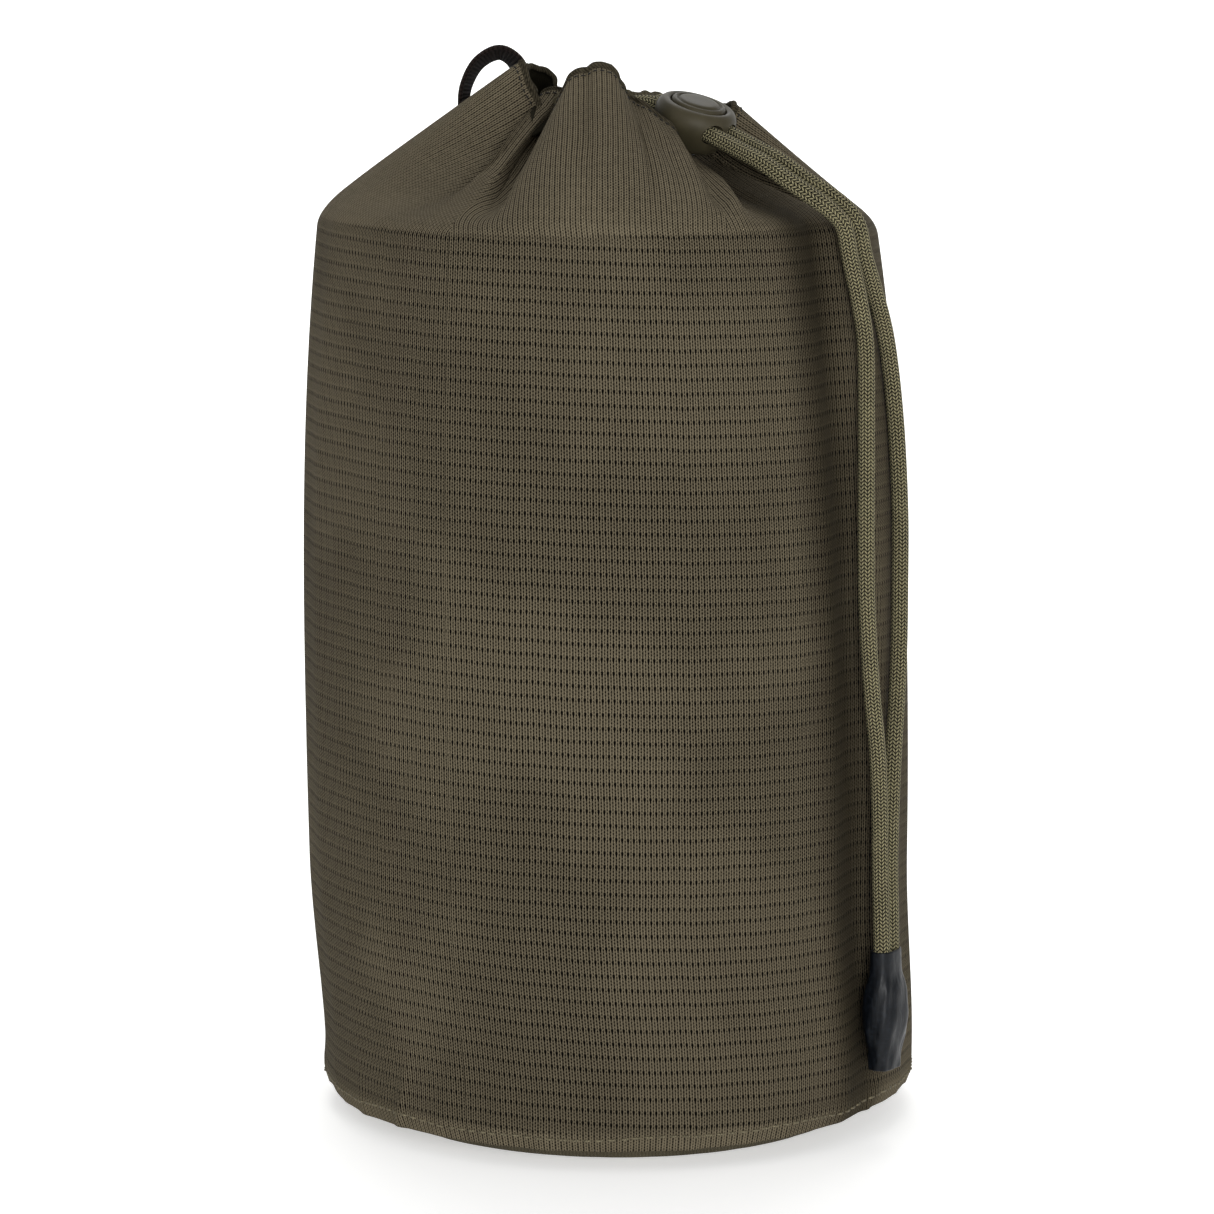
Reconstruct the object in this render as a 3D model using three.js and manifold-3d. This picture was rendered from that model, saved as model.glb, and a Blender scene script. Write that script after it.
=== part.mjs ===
// A drawstring stuff sack, standing packed-out on its round base, with its mouth drawn in.
//
// Units are millimetres, +Z is up, and the origin is the centre of the base, on the surface
// that the sack stands on. The front faces -Y. An azimuth is measured in degrees from the
// front, -Y, towards the right, +X, which is anticlockwise as seen from above.
//
// The sack is one fabric panel closed by a side seam, a round base panel, a tape tunnel round
// the mouth with a drawcord in it, a twin-hole cord lock that slides on the cord's two legs,
// a stopper knot in a shrink sleeve at their end, and a webbing hang loop.

import * as THREE from "three";
import { mergeVertices } from "three/addons/utils/BufferGeometryUtils.js";
import Module from "manifold-3d";

const wasm = await Module();
wasm.setup();

// ---------------------------------------------------------------- driving dimensions

const FABRIC = 1.2; // knitted mesh, doubled where it is turned
const FIT_GAP = 0.3; // between pieces that rest on each other

const BELLY_RADIUS = 81.3; // the widest place
const BELLY_HEIGHT = 95;
const FOOT_NARROWING = 1.7; // the wall comes in this much towards the base
const SHOULDER_RADIUS = 73.8;
const SHOULDER_HEIGHT = 243;
const TOP_LEAN = -3.3; // how far the shoulder stands over to the left

const BASE_FLAT_RADIUS = 62; // what rests on the ground
const BASE_SEAM_RADIUS = 75;
const BASE_SEAM_HEIGHT = 4;
const CORNER_HEIGHT = 14; // the wall is upright above this
const CORNER_RADIUS = 80;
const STITCH_HEIGHT = 9; // the topstitching round the base
const THREAD = 0.6;

const SIDE_SEAM_AZIMUTH = 51;
const SIDE_SEAM_DEPTH = 2.4; // the seam draws the wall in
const SIDE_SEAM_SPREAD = 5.5; // degrees

const VALLEY_RADIUS = 18.6; // where the pleats meet the cord tunnel
const PLEAT_STEPS = 9;

const CORD_RADIUS = 2.25;
const CORD_RING_RADIUS = 13; // the drawcord's turn round the mouth
const CORD_RING_HEIGHT = 270.5;
const CORD_EXIT_AZIMUTH = 48;
const CORD_EXIT_HALF_ANGLE = 38; // the tunnel is open this far to each side of the exit
const TUNNEL_RADIUS = 3.5;
const TUNNEL_BORE = 2.6;

const LOCK_DISTANCE = 30; // from the sack's axis, level
const LOCK_HEIGHT = 267.5; // of the middle of the cord holes
const LOCK_SLOPE = 20; // degrees that the cord holes point down
const LOCK_RADIUS = 11;
const LOCK_RIM_RADIUS = 8.9;
const LOCK_BORE = 7.6;
const LOCK_UNDERSIDE = -7.2; // from the middle of the cord holes
const LOCK_FLOOR = -6.3;
const LOCK_RIM = 4.8;
const HOLE_RADIUS = 2.65;
const HOLE_OFFSET = 3.6; // the two cord holes lie this far to each side
const BUTTON_RADIUS = 7.3;
const BUTTON_UNDERSIDE = -3.7;
const BUTTON_TOP = 5.8;
const BUTTON_TRAVEL = 1.6;
const SPRING_RADIUS = 5.5;
const SPRING_WIRE_RADIUS = 0.25;
const SPRING_TURNS = 2.25;

const SLEEVE_AZIMUTH = 58.5;
const SLEEVE_DISTANCE = 85.5;
const SLEEVE_WALL = 0.6;
const LEG_SPACING = 4.9; // between the two legs inside the sleeve

const LOOP_Y = 9.5; // the hang loop stands in the plane y = LOOP_Y
const LOOP_WIDTH = 10;
const LOOP_THICKNESS = 1.2;

// ---------------------------------------------------------------- pleats of the mouth

// Each pleat runs from its own first valley to the next pleat's. shoulder and mouth are the
// azimuths of that valley at the shoulder and at the hem; reach and top are the radius and the
// height of the pleat's crest at the hem, valleyTop is the hem's height in the first valley,
// and swell lifts the middle of the pleat's slope. The second pleat lies low, under the lock.
const PLEATS = [
  { shoulder: -24, mouth: -46, reach: 27, top: 277, valleyTop: 266, swell: 4 },
  { shoulder: 27.5, mouth: 26, reach: 19.8, top: 258.5, valleyTop: 258.5, swell: 2 },
  { shoulder: 66, mouth: 70, reach: 32, top: 271, valleyTop: 258.5, swell: 4 },
  { shoulder: 118, mouth: 114, reach: 29, top: 272, valleyTop: 266, swell: 4 },
  { shoulder: 165, mouth: 160, reach: 28, top: 273, valleyTop: 266, swell: 4 },
  { shoulder: 210, mouth: 206, reach: 27, top: 268, valleyTop: 265, swell: 3 },
  { shoulder: 268, mouth: 252, reach: 27, top: 279, valleyTop: 264, swell: 4 },
];
const VALLEY_SAG = 4;
const CREST_POWER = 0.75; // below 1 gives full crests and narrow valleys
const SWELL_POWER = 0.7; // below 1 puts the swell nearer the shoulder

// ---------------------------------------------------------------- helpers

const radians = THREE.MathUtils.degToRad;
const lerp = THREE.MathUtils.lerp;

function around(azimuth, radius, height, centreX = 0) {
  const a = radians(azimuth);
  return new THREE.Vector3(centreX + radius * Math.sin(a), -radius * Math.cos(a), height);
}

function standard(color, roughness, metalness = 0) {
  return new THREE.MeshStandardMaterial({ color, roughness, metalness });
}

const looks = {
  fabric: standard(0x504a3e, 0.9),
  tape: standard(0x3f3a2f, 0.9),
  webbing: standard(0x2a2020, 0.85),
  cord: standard(0x5a543c, 0.8),
  thread: standard(0x453f30, 0.8),
  shrinkSleeve: standard(0x282d32, 0.55),
  lockPlastic: standard(0x57523f, 0.6),
  springSteel: standard(0xb5b5b8, 0.3, 1),
};

const sack = new THREE.Group();

function addTo(parent, name, geometry, material) {
  const mesh = new THREE.Mesh(geometry, material);
  mesh.name = name;
  parent.add(mesh);
  return mesh;
}

// A closed skin of rings: each ring is a list of points, and the last ring joins the first.
function ringsToGeometry(rings) {
  const count = rings[0].length;
  const positions = rings.flatMap((ring) => ring.flatMap((p) => p.toArray()));
  const index = [];
  for (let r = 0; r < rings.length; r++) {
    const here = r * count;
    const next = ((r + 1) % rings.length) * count;
    for (let k = 0; k < count; k++) {
      const after = (k + 1) % count;
      index.push(here + k, here + after, next + after);
      index.push(here + k, next + after, next + k);
    }
  }
  const geometry = new THREE.BufferGeometry();
  geometry.setAttribute("position", new THREE.Float32BufferAttribute(positions, 3));
  geometry.setIndex(index);
  return geometry;
}

// The rings again, moved inwards along the surface's own normals.
function offsetInwards(rings, distance) {
  return rings.map((ring, r) => {
    const below = rings[Math.max(r - 1, 0)];
    const above = rings[Math.min(r + 1, rings.length - 1)];
    return ring.map((p, k) => {
      const across = ring[(k + 1) % ring.length].clone();
      across.sub(ring[(k + ring.length - 1) % ring.length]);
      const up = above[k].clone().sub(below[k]);
      return p.clone().addScaledVector(across.cross(up).normalize(), -distance);
    });
  });
}

function circleShape(radius, sides, hole = 0) {
  const shape = new THREE.Shape(ringPoints2(radius, sides));
  if (hole > 0) shape.holes.push(new THREE.Path(ringPoints2(hole, sides)));
  return shape;
}

function ringPoints2(radius, sides) {
  return Array.from({ length: sides }, (_, k) => {
    const a = (2 * Math.PI * k) / sides;
    return new THREE.Vector2(radius * Math.cos(a), radius * Math.sin(a));
  });
}

function sweep(shape, curve, steps) {
  return new THREE.ExtrudeGeometry(shape, { extrudePath: curve, steps, curveSegments: 1 });
}

function smoothCurve(points) {
  return new THREE.CatmullRomCurve3(points, false, "centripetal");
}

function lathe(profile, segments) {
  const points = profile.map(([r, z]) => new THREE.Vector2(r, z));
  return new THREE.LatheGeometry(points, segments).rotateX(Math.PI / 2);
}

function toSolid(geometry) {
  const bare = geometry.clone();
  bare.deleteAttribute("normal");
  bare.deleteAttribute("uv");
  const merged = mergeVertices(bare, 1e-4);
  return new wasm.Manifold(
    new wasm.Mesh({
      numProp: 3,
      vertProperties: merged.attributes.position.array,
      triVerts: new Uint32Array(merged.index.array),
    }),
  );
}

function toGeometry(solid) {
  const mesh = solid.getMesh();
  const geometry = new THREE.BufferGeometry();
  geometry.setAttribute("position", new THREE.BufferAttribute(mesh.vertProperties, 3));
  geometry.setIndex(new THREE.BufferAttribute(mesh.triVerts, 1));
  return geometry;
}

function cut(geometry, tools) {
  const solid = tools.reduce((left, tool) => left.subtract(toSolid(tool)), toSolid(geometry));
  return toGeometry(solid);
}

// ---------------------------------------------------------------- fabric body

// The wall's outer radius: a slight belly, and a rounded corner down to the base seam.
function wallRadius(height) {
  if (height < CORNER_HEIGHT) {
    const down = (CORNER_HEIGHT - height) / (CORNER_HEIGHT - BASE_SEAM_HEIGHT);
    const turn = Math.sqrt(Math.max(0, 1 - down * down));
    return lerp(BASE_SEAM_RADIUS, CORNER_RADIUS, turn);
  }
  if (height < BELLY_HEIGHT) {
    return BELLY_RADIUS - FOOT_NARROWING * ((BELLY_HEIGHT - height) / BELLY_HEIGHT) ** 1.6;
  }
  const up = (height - BELLY_HEIGHT) / (SHOULDER_HEIGHT - BELLY_HEIGHT);
  return BELLY_RADIUS - (BELLY_RADIUS - SHOULDER_RADIUS) * up ** 2.6;
}

function lean(height) {
  return TOP_LEAN * (height / SHOULDER_HEIGHT) ** 2;
}

function seamDip(azimuth, height) {
  const away = (azimuth - SIDE_SEAM_AZIMUTH) / SIDE_SEAM_SPREAD;
  const fade = Math.min(1, (height - BASE_SEAM_HEIGHT) / 20);
  return SIDE_SEAM_DEPTH * fade * Math.exp(-away * away);
}

function wallPoint(azimuth, height) {
  const radius = wallRadius(height) - seamDip(azimuth, height);
  return around(azimuth, radius, height, lean(height));
}

// A point on a pleat: share runs across it from valley to valley, rise from shoulder to hem.
function pleatPoint(number, share, rise) {
  const pleat = PLEATS[number];
  const next = PLEATS[(number + 1) % PLEATS.length];
  const turn = number + 1 < PLEATS.length ? 0 : 360;
  const crest = Math.sin(Math.PI * share) ** CREST_POWER;
  const foot = wallPoint(lerp(pleat.shoulder, next.shoulder + turn, share), SHOULDER_HEIGHT);
  const hem = around(
    lerp(pleat.mouth, next.mouth + turn, share),
    lerp(VALLEY_RADIUS, pleat.reach, crest),
    lerp(lerp(pleat.valleyTop, next.valleyTop, share), pleat.top, crest),
  );
  const swell = Math.sin(Math.PI * rise ** SWELL_POWER) * lerp(-VALLEY_SAG, pleat.swell, crest);
  return foot.lerp(hem, rise).add(new THREE.Vector3(0, 0, swell));
}

// The azimuths round the wall, so that each pleat's valleys fall on a line of points.
function pleatColumns() {
  return PLEATS.flatMap((pleat, number) =>
    Array.from({ length: PLEAT_STEPS }, (_, k) => ({ number, share: k / PLEAT_STEPS })),
  );
}

function columnAzimuth({ number, share }) {
  const next = number + 1 < PLEATS.length ? PLEATS[number + 1].shoulder : PLEATS[0].shoulder + 360;
  return lerp(PLEATS[number].shoulder, next, share);
}

const WALL_HEIGHTS = [4, 6, 9, 14, 38, 66, 95, 130, 165, 200, 223, 237];
const NECK_RISES = [0, 0.08, 0.25, 0.5, 0.75, 1];

function bodyPanel() {
  const columns = pleatColumns();
  const wall = WALL_HEIGHTS.map((z) => columns.map((c) => wallPoint(columnAzimuth(c), z)));
  const neck = NECK_RISES.map((t) => columns.map((c) => pleatPoint(c.number, c.share, t)));
  const outside = [...wall, ...neck];
  const inside = offsetInwards(outside, FABRIC).reverse();
  return ringsToGeometry([...outside, ...inside]);
}

// A round panel that lies flat in the middle and turns up to its seam.
function basePanel() {
  const edge = BASE_SEAM_RADIUS - FABRIC - FIT_GAP - 0.2;
  const rise = 3.5;
  const turnUp = new THREE.EllipseCurve(
    BASE_FLAT_RADIUS,
    rise,
    edge - BASE_FLAT_RADIUS,
    rise,
    -Math.PI / 2,
    0,
  );
  const under = turnUp.getPoints(4).map((p) => [p.x, p.y]);
  const over = under.map(([r, z]) => [r, z + FABRIC]).reverse();
  return lathe([[0, 0], ...under, ...over, [0, FABRIC]], 40);
}

// The tape that binds the raw edges of the base seam, inside the corner.
function baseSeamBinding() {
  const outer = BASE_SEAM_RADIUS - 1;
  const inner = outer - 2;
  const profile = [[inner, 5.4], [outer, 5.4], [outer, 10.4], [inner, 10.4], [inner, 5.4]];
  return lathe(profile, 40);
}

// The bound raw edges of the side seam, standing inside the wall.
function sideSeamBinding() {
  const heights = [12, 38, 66, 95, 130, 165, 200, 228];
  const inset = FABRIC + FIT_GAP + 0.3;
  const halfWidth = 2.6; // degrees
  const depth = 1.6;
  const corner = (z, side, extra) => {
    const radius = wallRadius(z) - SIDE_SEAM_DEPTH - inset - extra;
    return around(SIDE_SEAM_AZIMUTH + side * halfWidth, radius, z, lean(z));
  };
  const sections = heights.map((z) => [
    corner(z, -1, 0),
    corner(z, 1, 0),
    corner(z, 1, depth),
    corner(z, -1, depth),
  ]);
  return loft(sections);
}

// A closed loft of sections, each a list of points in the same order, with flat end caps.
function loft(sections) {
  const count = sections[0].length;
  const positions = sections.flatMap((s) => s.flatMap((p) => p.toArray()));
  const index = [];
  for (let r = 0; r + 1 < sections.length; r++) {
    for (let k = 0; k < count; k++) {
      const a = r * count + k;
      const b = r * count + ((k + 1) % count);
      index.push(a, b, b + count, a, b + count, a + count);
    }
  }
  const top = (sections.length - 1) * count;
  for (let k = 1; k + 1 < count; k++) {
    index.push(0, k + 1, k);
    index.push(top, top + k, top + k + 1);
  }
  const geometry = new THREE.BufferGeometry();
  geometry.setAttribute("position", new THREE.Float32BufferAttribute(positions, 3));
  geometry.setIndex(index);
  return geometry;
}

// The thread of the topstitching, laid on the wall just above the base seam.
function baseStitchThread() {
  const radius = wallRadius(STITCH_HEIGHT) + FIT_GAP + THREAD / 2;
  return new THREE.TorusGeometry(radius, THREAD / 2, 5, 48).translate(0, 0, STITCH_HEIGHT);
}

// ---------------------------------------------------------------- drawcord and its tunnel

// The circle round the mouth, from one side of the exit the long way to the other.
function mouthArc(halfGap) {
  const from = CORD_EXIT_AZIMUTH + halfGap;
  const turn = 360 - 2 * halfGap;
  const steps = 24;
  const points = Array.from({ length: steps + 1 }, (_, k) =>
    around(from + (turn * k) / steps, CORD_RING_RADIUS, CORD_RING_HEIGHT),
  );
  return smoothCurve(points);
}

function cordTunnel() {
  return sweep(circleShape(TUNNEL_RADIUS, 8, TUNNEL_BORE), mouthArc(CORD_EXIT_HALF_ANGLE + 1), 36);
}

function drawcordNeckLoop() {
  return sweep(circleShape(CORD_RADIUS, 8), mouthArc(CORD_EXIT_HALF_ANGLE + 3), 30);
}

// The legs leave the tunnel, run straight through the lock and beyond it, turn down over the
// shoulder and hang against the wall to the knot.
const LEFT_LEG = [
  [2.3, -12.8, 270.5],
  [5.6, -12.7, 271.2],
  [9.1, -13.7, 271.7],
  [11.9, -15.5, 271.4],
  [14.0, -17.4, 270.4],
  [19.9, -22.8, 267.5],
  [26.9, -29.0, 264.1],
  [33.8, -35.3, 260.7],
  [39.5, -40.4, 257.9],
  [45.9, -43.9, 253.6],
  [51.7, -45.2, 249.8],
  [56.9, -44.8, 246.0],
  [60.4, -44.0, 241.8],
  [62.1, -42.6, 234],
  [64.4, -41.2, 224],
  [66.4, -40.5, 212],
  [66.7, -43.6, 192],
  [66.7, -46.9, 166],
  [66.9, -48.3, 147],
  [67.8, -48.0, 130],
  [68.8, -46.9, 118],
  [70.3, -45.2, 104],
  [71.0, -44.3, 89],
  [71.3, -44.5, 72],
  [71.6, -45.8, 60],
  [71.8, -46.9, 51],
  [71.9, -47.0, 42],
];
const RIGHT_LEG = [
  [13.0, -0.9, 270.5],
  [13.2, -4.3, 271.2],
  [14.6, -7.6, 271.7],
  [16.7, -10.2, 271.4],
  [18.8, -12.1, 270.4],
  [24.7, -17.4, 267.5],
  [31.7, -23.7, 264.1],
  [38.7, -30.0, 260.7],
  [44.3, -35.0, 257.9],
  [50.7, -38.2, 253.4],
  [56.5, -39.0, 249.8],
  [61.3, -38.4, 246.0],
  [64.3, -37.6, 241.8],
  [66.2, -35.4, 234],
  [69.2, -31.7, 224],
  [72.4, -27.8, 212],
  [75.1, -25.9, 192],
  [76.6, -27.7, 166],
  [76.6, -30.5, 147],
  [76.4, -32.4, 130],
  [75.9, -34.0, 118],
  [75.0, -36.8, 104],
  [74.4, -38.4, 89],
  [74.1, -39.6, 72],
  [74.3, -41.5, 60],
  [74.4, -42.6, 51],
  [74.5, -42.7, 42],
];
const LEG_STEPS = 60;

function drawcordLeg(route) {
  const points = route.map(([x, y, z]) => new THREE.Vector3(x, y, z));
  return sweep(circleShape(CORD_RADIUS, 8), smoothCurve(points), LEG_STEPS);
}

// ---------------------------------------------------------------- knot, tails and sleeve

const KNOT_HALF_SIZE = { along: 5.7, across: 4.2, height: 7 };
const KNOT_HEIGHT = 34.5;
const TAIL_TOP = 27.2;
const TAIL_BOTTOM = 20.4;

// The sleeve's outline from top to bottom: half its size along the wall and across it.
const SLEEVE_SECTIONS = [
  { z: 51.3, along: 5.7, across: 3.3 },
  { z: 44.5, along: 5.8, across: 3.4 },
  { z: 40, along: 6.4, across: 4.6 },
  { z: 34.5, along: 6.6, across: 5 },
  { z: 29, along: 6.3, across: 4.6 },
  { z: 25.5, along: 5.7, across: 3.5 },
  { z: 19.4, along: 5.7, across: 3.3 },
];

// x runs along the wall, y across it, outwards from the sack is -y.
const endGroup = new THREE.Group();
endGroup.position.copy(around(SLEEVE_AZIMUTH, SLEEVE_DISTANCE, 0));
endGroup.rotation.z = radians(SLEEVE_AZIMUTH);
sack.add(endGroup);

// The sections are flattened ovals, full enough to hold two cords side by side.
function cordEndSleeve() {
  const fill = (part) => Math.sign(part) * Math.abs(part) ** 0.65;
  const ring = ({ z, along, across }, inset) =>
    ringPoints2(1, 20).map(
      (p) => new THREE.Vector3(fill(p.x) * (along - inset), fill(p.y) * (across - inset), z),
    );
  const outside = SLEEVE_SECTIONS.map((section) => ring(section, 0)).reverse();
  const inside = SLEEVE_SECTIONS.map((section) => ring(section, SLEEVE_WALL));
  return ringsToGeometry([...outside, ...inside]);
}

function stopperKnot() {
  const { along, across, height } = KNOT_HALF_SIZE;
  return new THREE.SphereGeometry(1, 16, 10)
    .rotateX(Math.PI / 2)
    .scale(along, across, height)
    .translate(0, 0, KNOT_HEIGHT);
}

function drawcordTail(side) {
  const length = TAIL_TOP - TAIL_BOTTOM;
  return new THREE.CylinderGeometry(CORD_RADIUS, CORD_RADIUS, length, 10)
    .rotateX(Math.PI / 2)
    .translate((side * LEG_SPACING) / 2, 0, TAIL_BOTTOM + length / 2);
}

// ---------------------------------------------------------------- cord lock

// x runs down along the cord holes, z is the axis of the button.
const lockGroup = new THREE.Group();
lockGroup.position.copy(around(CORD_EXIT_AZIMUTH, LOCK_DISTANCE, LOCK_HEIGHT));
lockGroup.rotation.order = "ZYX";
lockGroup.rotation.z = radians(CORD_EXIT_AZIMUTH - 90);
lockGroup.rotation.y = radians(LOCK_SLOPE);
sack.add(lockGroup);

function lockBody() {
  const shell = lathe(
    [
      [0, LOCK_UNDERSIDE],
      [LOCK_RADIUS - 1.6, LOCK_UNDERSIDE],
      [LOCK_RADIUS - 0.4, LOCK_UNDERSIDE + 0.8],
      [LOCK_RADIUS, LOCK_UNDERSIDE + 2.2],
      [LOCK_RADIUS - 0.1, -1.5],
      [LOCK_RADIUS - 0.6, 1.6],
      [LOCK_RIM_RADIUS + 0.5, LOCK_RIM - 0.6],
      [LOCK_RIM_RADIUS, LOCK_RIM],
      [LOCK_BORE, LOCK_RIM],
      [LOCK_BORE, LOCK_FLOOR],
      [0, LOCK_FLOOR],
    ],
    28,
  );
  return cut(shell, [cordHole(-1), cordHole(1)]);
}

function cordHole(side) {
  const length = 3 * LOCK_RADIUS;
  return new THREE.CylinderGeometry(HOLE_RADIUS, HOLE_RADIUS, length, 14)
    .rotateZ(Math.PI / 2)
    .translate(0, side * HOLE_OFFSET, 0);
}

// A slot as wide as a cord hole, taller by the button's travel.
function cordSlot(side) {
  const slot = new THREE.Shape();
  slot.absarc(0, 0, HOLE_RADIUS, Math.PI, 2 * Math.PI);
  slot.absarc(0, BUTTON_TRAVEL, HOLE_RADIUS, 0, Math.PI);
  const length = 3 * LOCK_RADIUS;
  return new THREE.ExtrudeGeometry(slot, { depth: length, bevelEnabled: false, curveSegments: 7 })
    .rotateX(Math.PI / 2)
    .rotateZ(Math.PI / 2)
    .translate(-length / 2, side * HOLE_OFFSET, 0);
}

function lockButton() {
  const plunger = lathe(
    [
      [0, BUTTON_UNDERSIDE],
      [BUTTON_RADIUS, BUTTON_UNDERSIDE],
      [BUTTON_RADIUS, BUTTON_TOP - 0.9],
      [BUTTON_RADIUS - 0.6, BUTTON_TOP - 0.2],
      [BUTTON_RADIUS - 2, BUTTON_TOP],
      [0, BUTTON_TOP],
    ],
    28,
  );
  return cut(plunger, [cordSlot(-1), cordSlot(1)]);
}

function lockSpring() {
  const clear = SPRING_WIRE_RADIUS + 0.15;
  const bottom = LOCK_FLOOR + clear;
  const top = BUTTON_UNDERSIDE - clear;
  const steps = Math.round(SPRING_TURNS * 18);
  const points = Array.from({ length: steps + 1 }, (_, k) => {
    const turn = 2 * Math.PI * SPRING_TURNS * (k / steps);
    return new THREE.Vector3(
      SPRING_RADIUS * Math.cos(turn),
      SPRING_RADIUS * Math.sin(turn),
      lerp(bottom, top, k / steps),
    );
  });
  return sweep(circleShape(SPRING_WIRE_RADIUS, 6), smoothCurve(points), steps);
}

// ---------------------------------------------------------------- hang loop

// The loop's middle line in its own plane, x and z, from the outer foot to the inner one.
const LOOP_LINE = [
  [-38.2, 264],
  [-38.8, 268],
  [-38, 275],
  [-34, 282.5],
  [-28.5, 285.2],
  [-24.3, 281.5],
  [-23.4, 275],
  [-24, 269],
];

function loopSection([x, z], direction) {
  const outward = new THREE.Vector2(-direction.y, direction.x);
  const corner = (across, out) =>
    new THREE.Vector3(x + outward.x * out, LOOP_Y + across, z + outward.y * out);
  const halfWidth = LOOP_WIDTH / 2;
  const halfThickness = LOOP_THICKNESS / 2;
  return [
    corner(-halfWidth, -halfThickness),
    corner(halfWidth, -halfThickness),
    corner(halfWidth, halfThickness),
    corner(-halfWidth, halfThickness),
  ];
}

function hangLoop() {
  const line = new THREE.SplineCurve(LOOP_LINE.map(([x, z]) => new THREE.Vector2(x, z)));
  const steps = 28;
  const sections = Array.from({ length: steps + 1 }, (_, k) => {
    const at = line.getPoint(k / steps);
    return loopSection([at.x, at.y], line.getTangent(k / steps));
  });
  return loft(sections);
}

// The dense stitching under each foot of the loop, with room for the foot to rock.
function bartack([x, z]) {
  const top = z - 0.9;
  const height = 1;
  return new THREE.BoxGeometry(2.6, 4, height).translate(x, LOOP_Y, top - height / 2);
}

// ---------------------------------------------------------------- assembly

// The hem is cut away where the cords come out and the lock sits.
function bodyWithCordExit() {
  const width = 2 * (HOLE_OFFSET + CORD_RADIUS + 2.2);
  const room = new THREE.BoxGeometry(2 * VALLEY_RADIUS, width, 30)
    .translate(VALLEY_RADIUS, 0, CORD_RING_HEIGHT - CORD_RADIUS - 1 + 15)
    .rotateZ(radians(CORD_EXIT_AZIMUTH - 90));
  return cut(bodyPanel(), [room]);
}

addTo(sack, "body_panel", bodyWithCordExit(), looks.fabric);
addTo(sack, "base_panel", basePanel(), looks.fabric);
addTo(sack, "base_seam_binding", baseSeamBinding(), looks.tape);
addTo(sack, "side_seam_binding", sideSeamBinding(), looks.tape);
addTo(sack, "base_stitch_thread", baseStitchThread(), looks.thread);

addTo(sack, "cord_tunnel", cordTunnel(), looks.fabric);
addTo(sack, "drawcord_neck_loop", drawcordNeckLoop(), looks.cord);
addTo(sack, "drawcord_leg_left", drawcordLeg(LEFT_LEG), looks.cord);
addTo(sack, "drawcord_leg_right", drawcordLeg(RIGHT_LEG), looks.cord);

addTo(endGroup, "cord_end_sleeve", cordEndSleeve(), looks.shrinkSleeve);
addTo(endGroup, "stopper_knot", stopperKnot(), looks.cord);
addTo(endGroup, "drawcord_tail_left", drawcordTail(-1), looks.cord);
addTo(endGroup, "drawcord_tail_right", drawcordTail(1), looks.cord);

addTo(lockGroup, "lock_body", lockBody(), looks.lockPlastic);
addTo(lockGroup, "lock_button", lockButton(), looks.lockPlastic);
addTo(lockGroup, "lock_spring", lockSpring(), looks.springSteel);

addTo(sack, "hang_loop", hangLoop(), looks.webbing);
addTo(sack, "loop_bartack_outer", bartack(LOOP_LINE[0]), looks.thread);
addTo(sack, "loop_bartack_inner", bartack(LOOP_LINE.at(-1)), looks.thread);

export default sack;
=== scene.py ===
import math
from functools import partialmethod

import bpy
import numpy as np
from mathutils import Matrix, Vector


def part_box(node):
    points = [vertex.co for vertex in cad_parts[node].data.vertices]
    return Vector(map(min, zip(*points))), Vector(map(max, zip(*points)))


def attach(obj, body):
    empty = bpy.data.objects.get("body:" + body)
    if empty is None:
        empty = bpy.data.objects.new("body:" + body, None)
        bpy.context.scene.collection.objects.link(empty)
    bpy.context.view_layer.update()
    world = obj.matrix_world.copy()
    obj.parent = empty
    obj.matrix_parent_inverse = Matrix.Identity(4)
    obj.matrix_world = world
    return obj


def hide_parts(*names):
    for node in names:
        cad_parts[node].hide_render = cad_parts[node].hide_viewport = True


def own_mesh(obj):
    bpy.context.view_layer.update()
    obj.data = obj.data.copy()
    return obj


# The looks of a drawstring stuff sack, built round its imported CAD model.
#
# Metres, +Z up, origin at the centre of the base, front towards -Y. An azimuth is in degrees
# from the front towards the right, +X. The sack is one knitted panel gathered into pleats at
# its mouth, a round base, a drawcord with its lock and sleeved knot, and a webbing loop.

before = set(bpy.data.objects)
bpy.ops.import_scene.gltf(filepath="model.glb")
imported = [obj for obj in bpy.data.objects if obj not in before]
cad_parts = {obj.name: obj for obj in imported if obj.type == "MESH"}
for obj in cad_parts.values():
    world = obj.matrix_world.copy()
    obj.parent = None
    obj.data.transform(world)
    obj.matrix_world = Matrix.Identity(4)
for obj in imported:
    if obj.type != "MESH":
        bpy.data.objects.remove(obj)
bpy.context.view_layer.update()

MM = 0.001
TAU = 2 * math.pi

# ---- driving dimensions

CAMERA_PLACE = (-0.0005, -1.30, 0.34)
CAMERA_LOOKS_DOWN = 8.935  # degrees
CAMERA_LENS = 144.65

BELLY_RADIUS = 0.0813
BELLY_HEIGHT = 0.095
SHOULDER_HEIGHT = 0.243  # on the average; the filling leaves it uneven
SHOULDER_NARROWING = 0.0075
FOOT_NARROWING = 0.0017
TOP_LEAN = -0.0033
FOOT_SAG = 0.0028  # the filled foot leans to the right
BASE_FLAT_RADIUS = 0.066
BASE_SEAM_RADIUS = 0.0772
BASE_SEAM_HEIGHT = 0.0056
CORNER_RADIUS = 0.0800
CORNER_HEIGHT = 0.014
STITCH_HEIGHT = 0.0092
BASE_EDGE_INSET = 0.0012
BASE_SLACK_RADIUS = 0.057  # outside it, the base is slack
BASE_TAPE_RADIUS = 0.0738
BASE_TAPE_HEIGHT = 0.0079

SIDE_SEAM_FOOT = 57  # its azimuth at the ground
SIDE_SEAM_SLANT = -24  # degrees for each metre up
SIDE_SEAM_DEPTH = 0.0034
SIDE_SEAM_SPREAD = 5.6  # degrees
SEAM_SHADE_TO_LEFT = 0.005  # the middle of the band of painted shade, from the side seam

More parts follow.
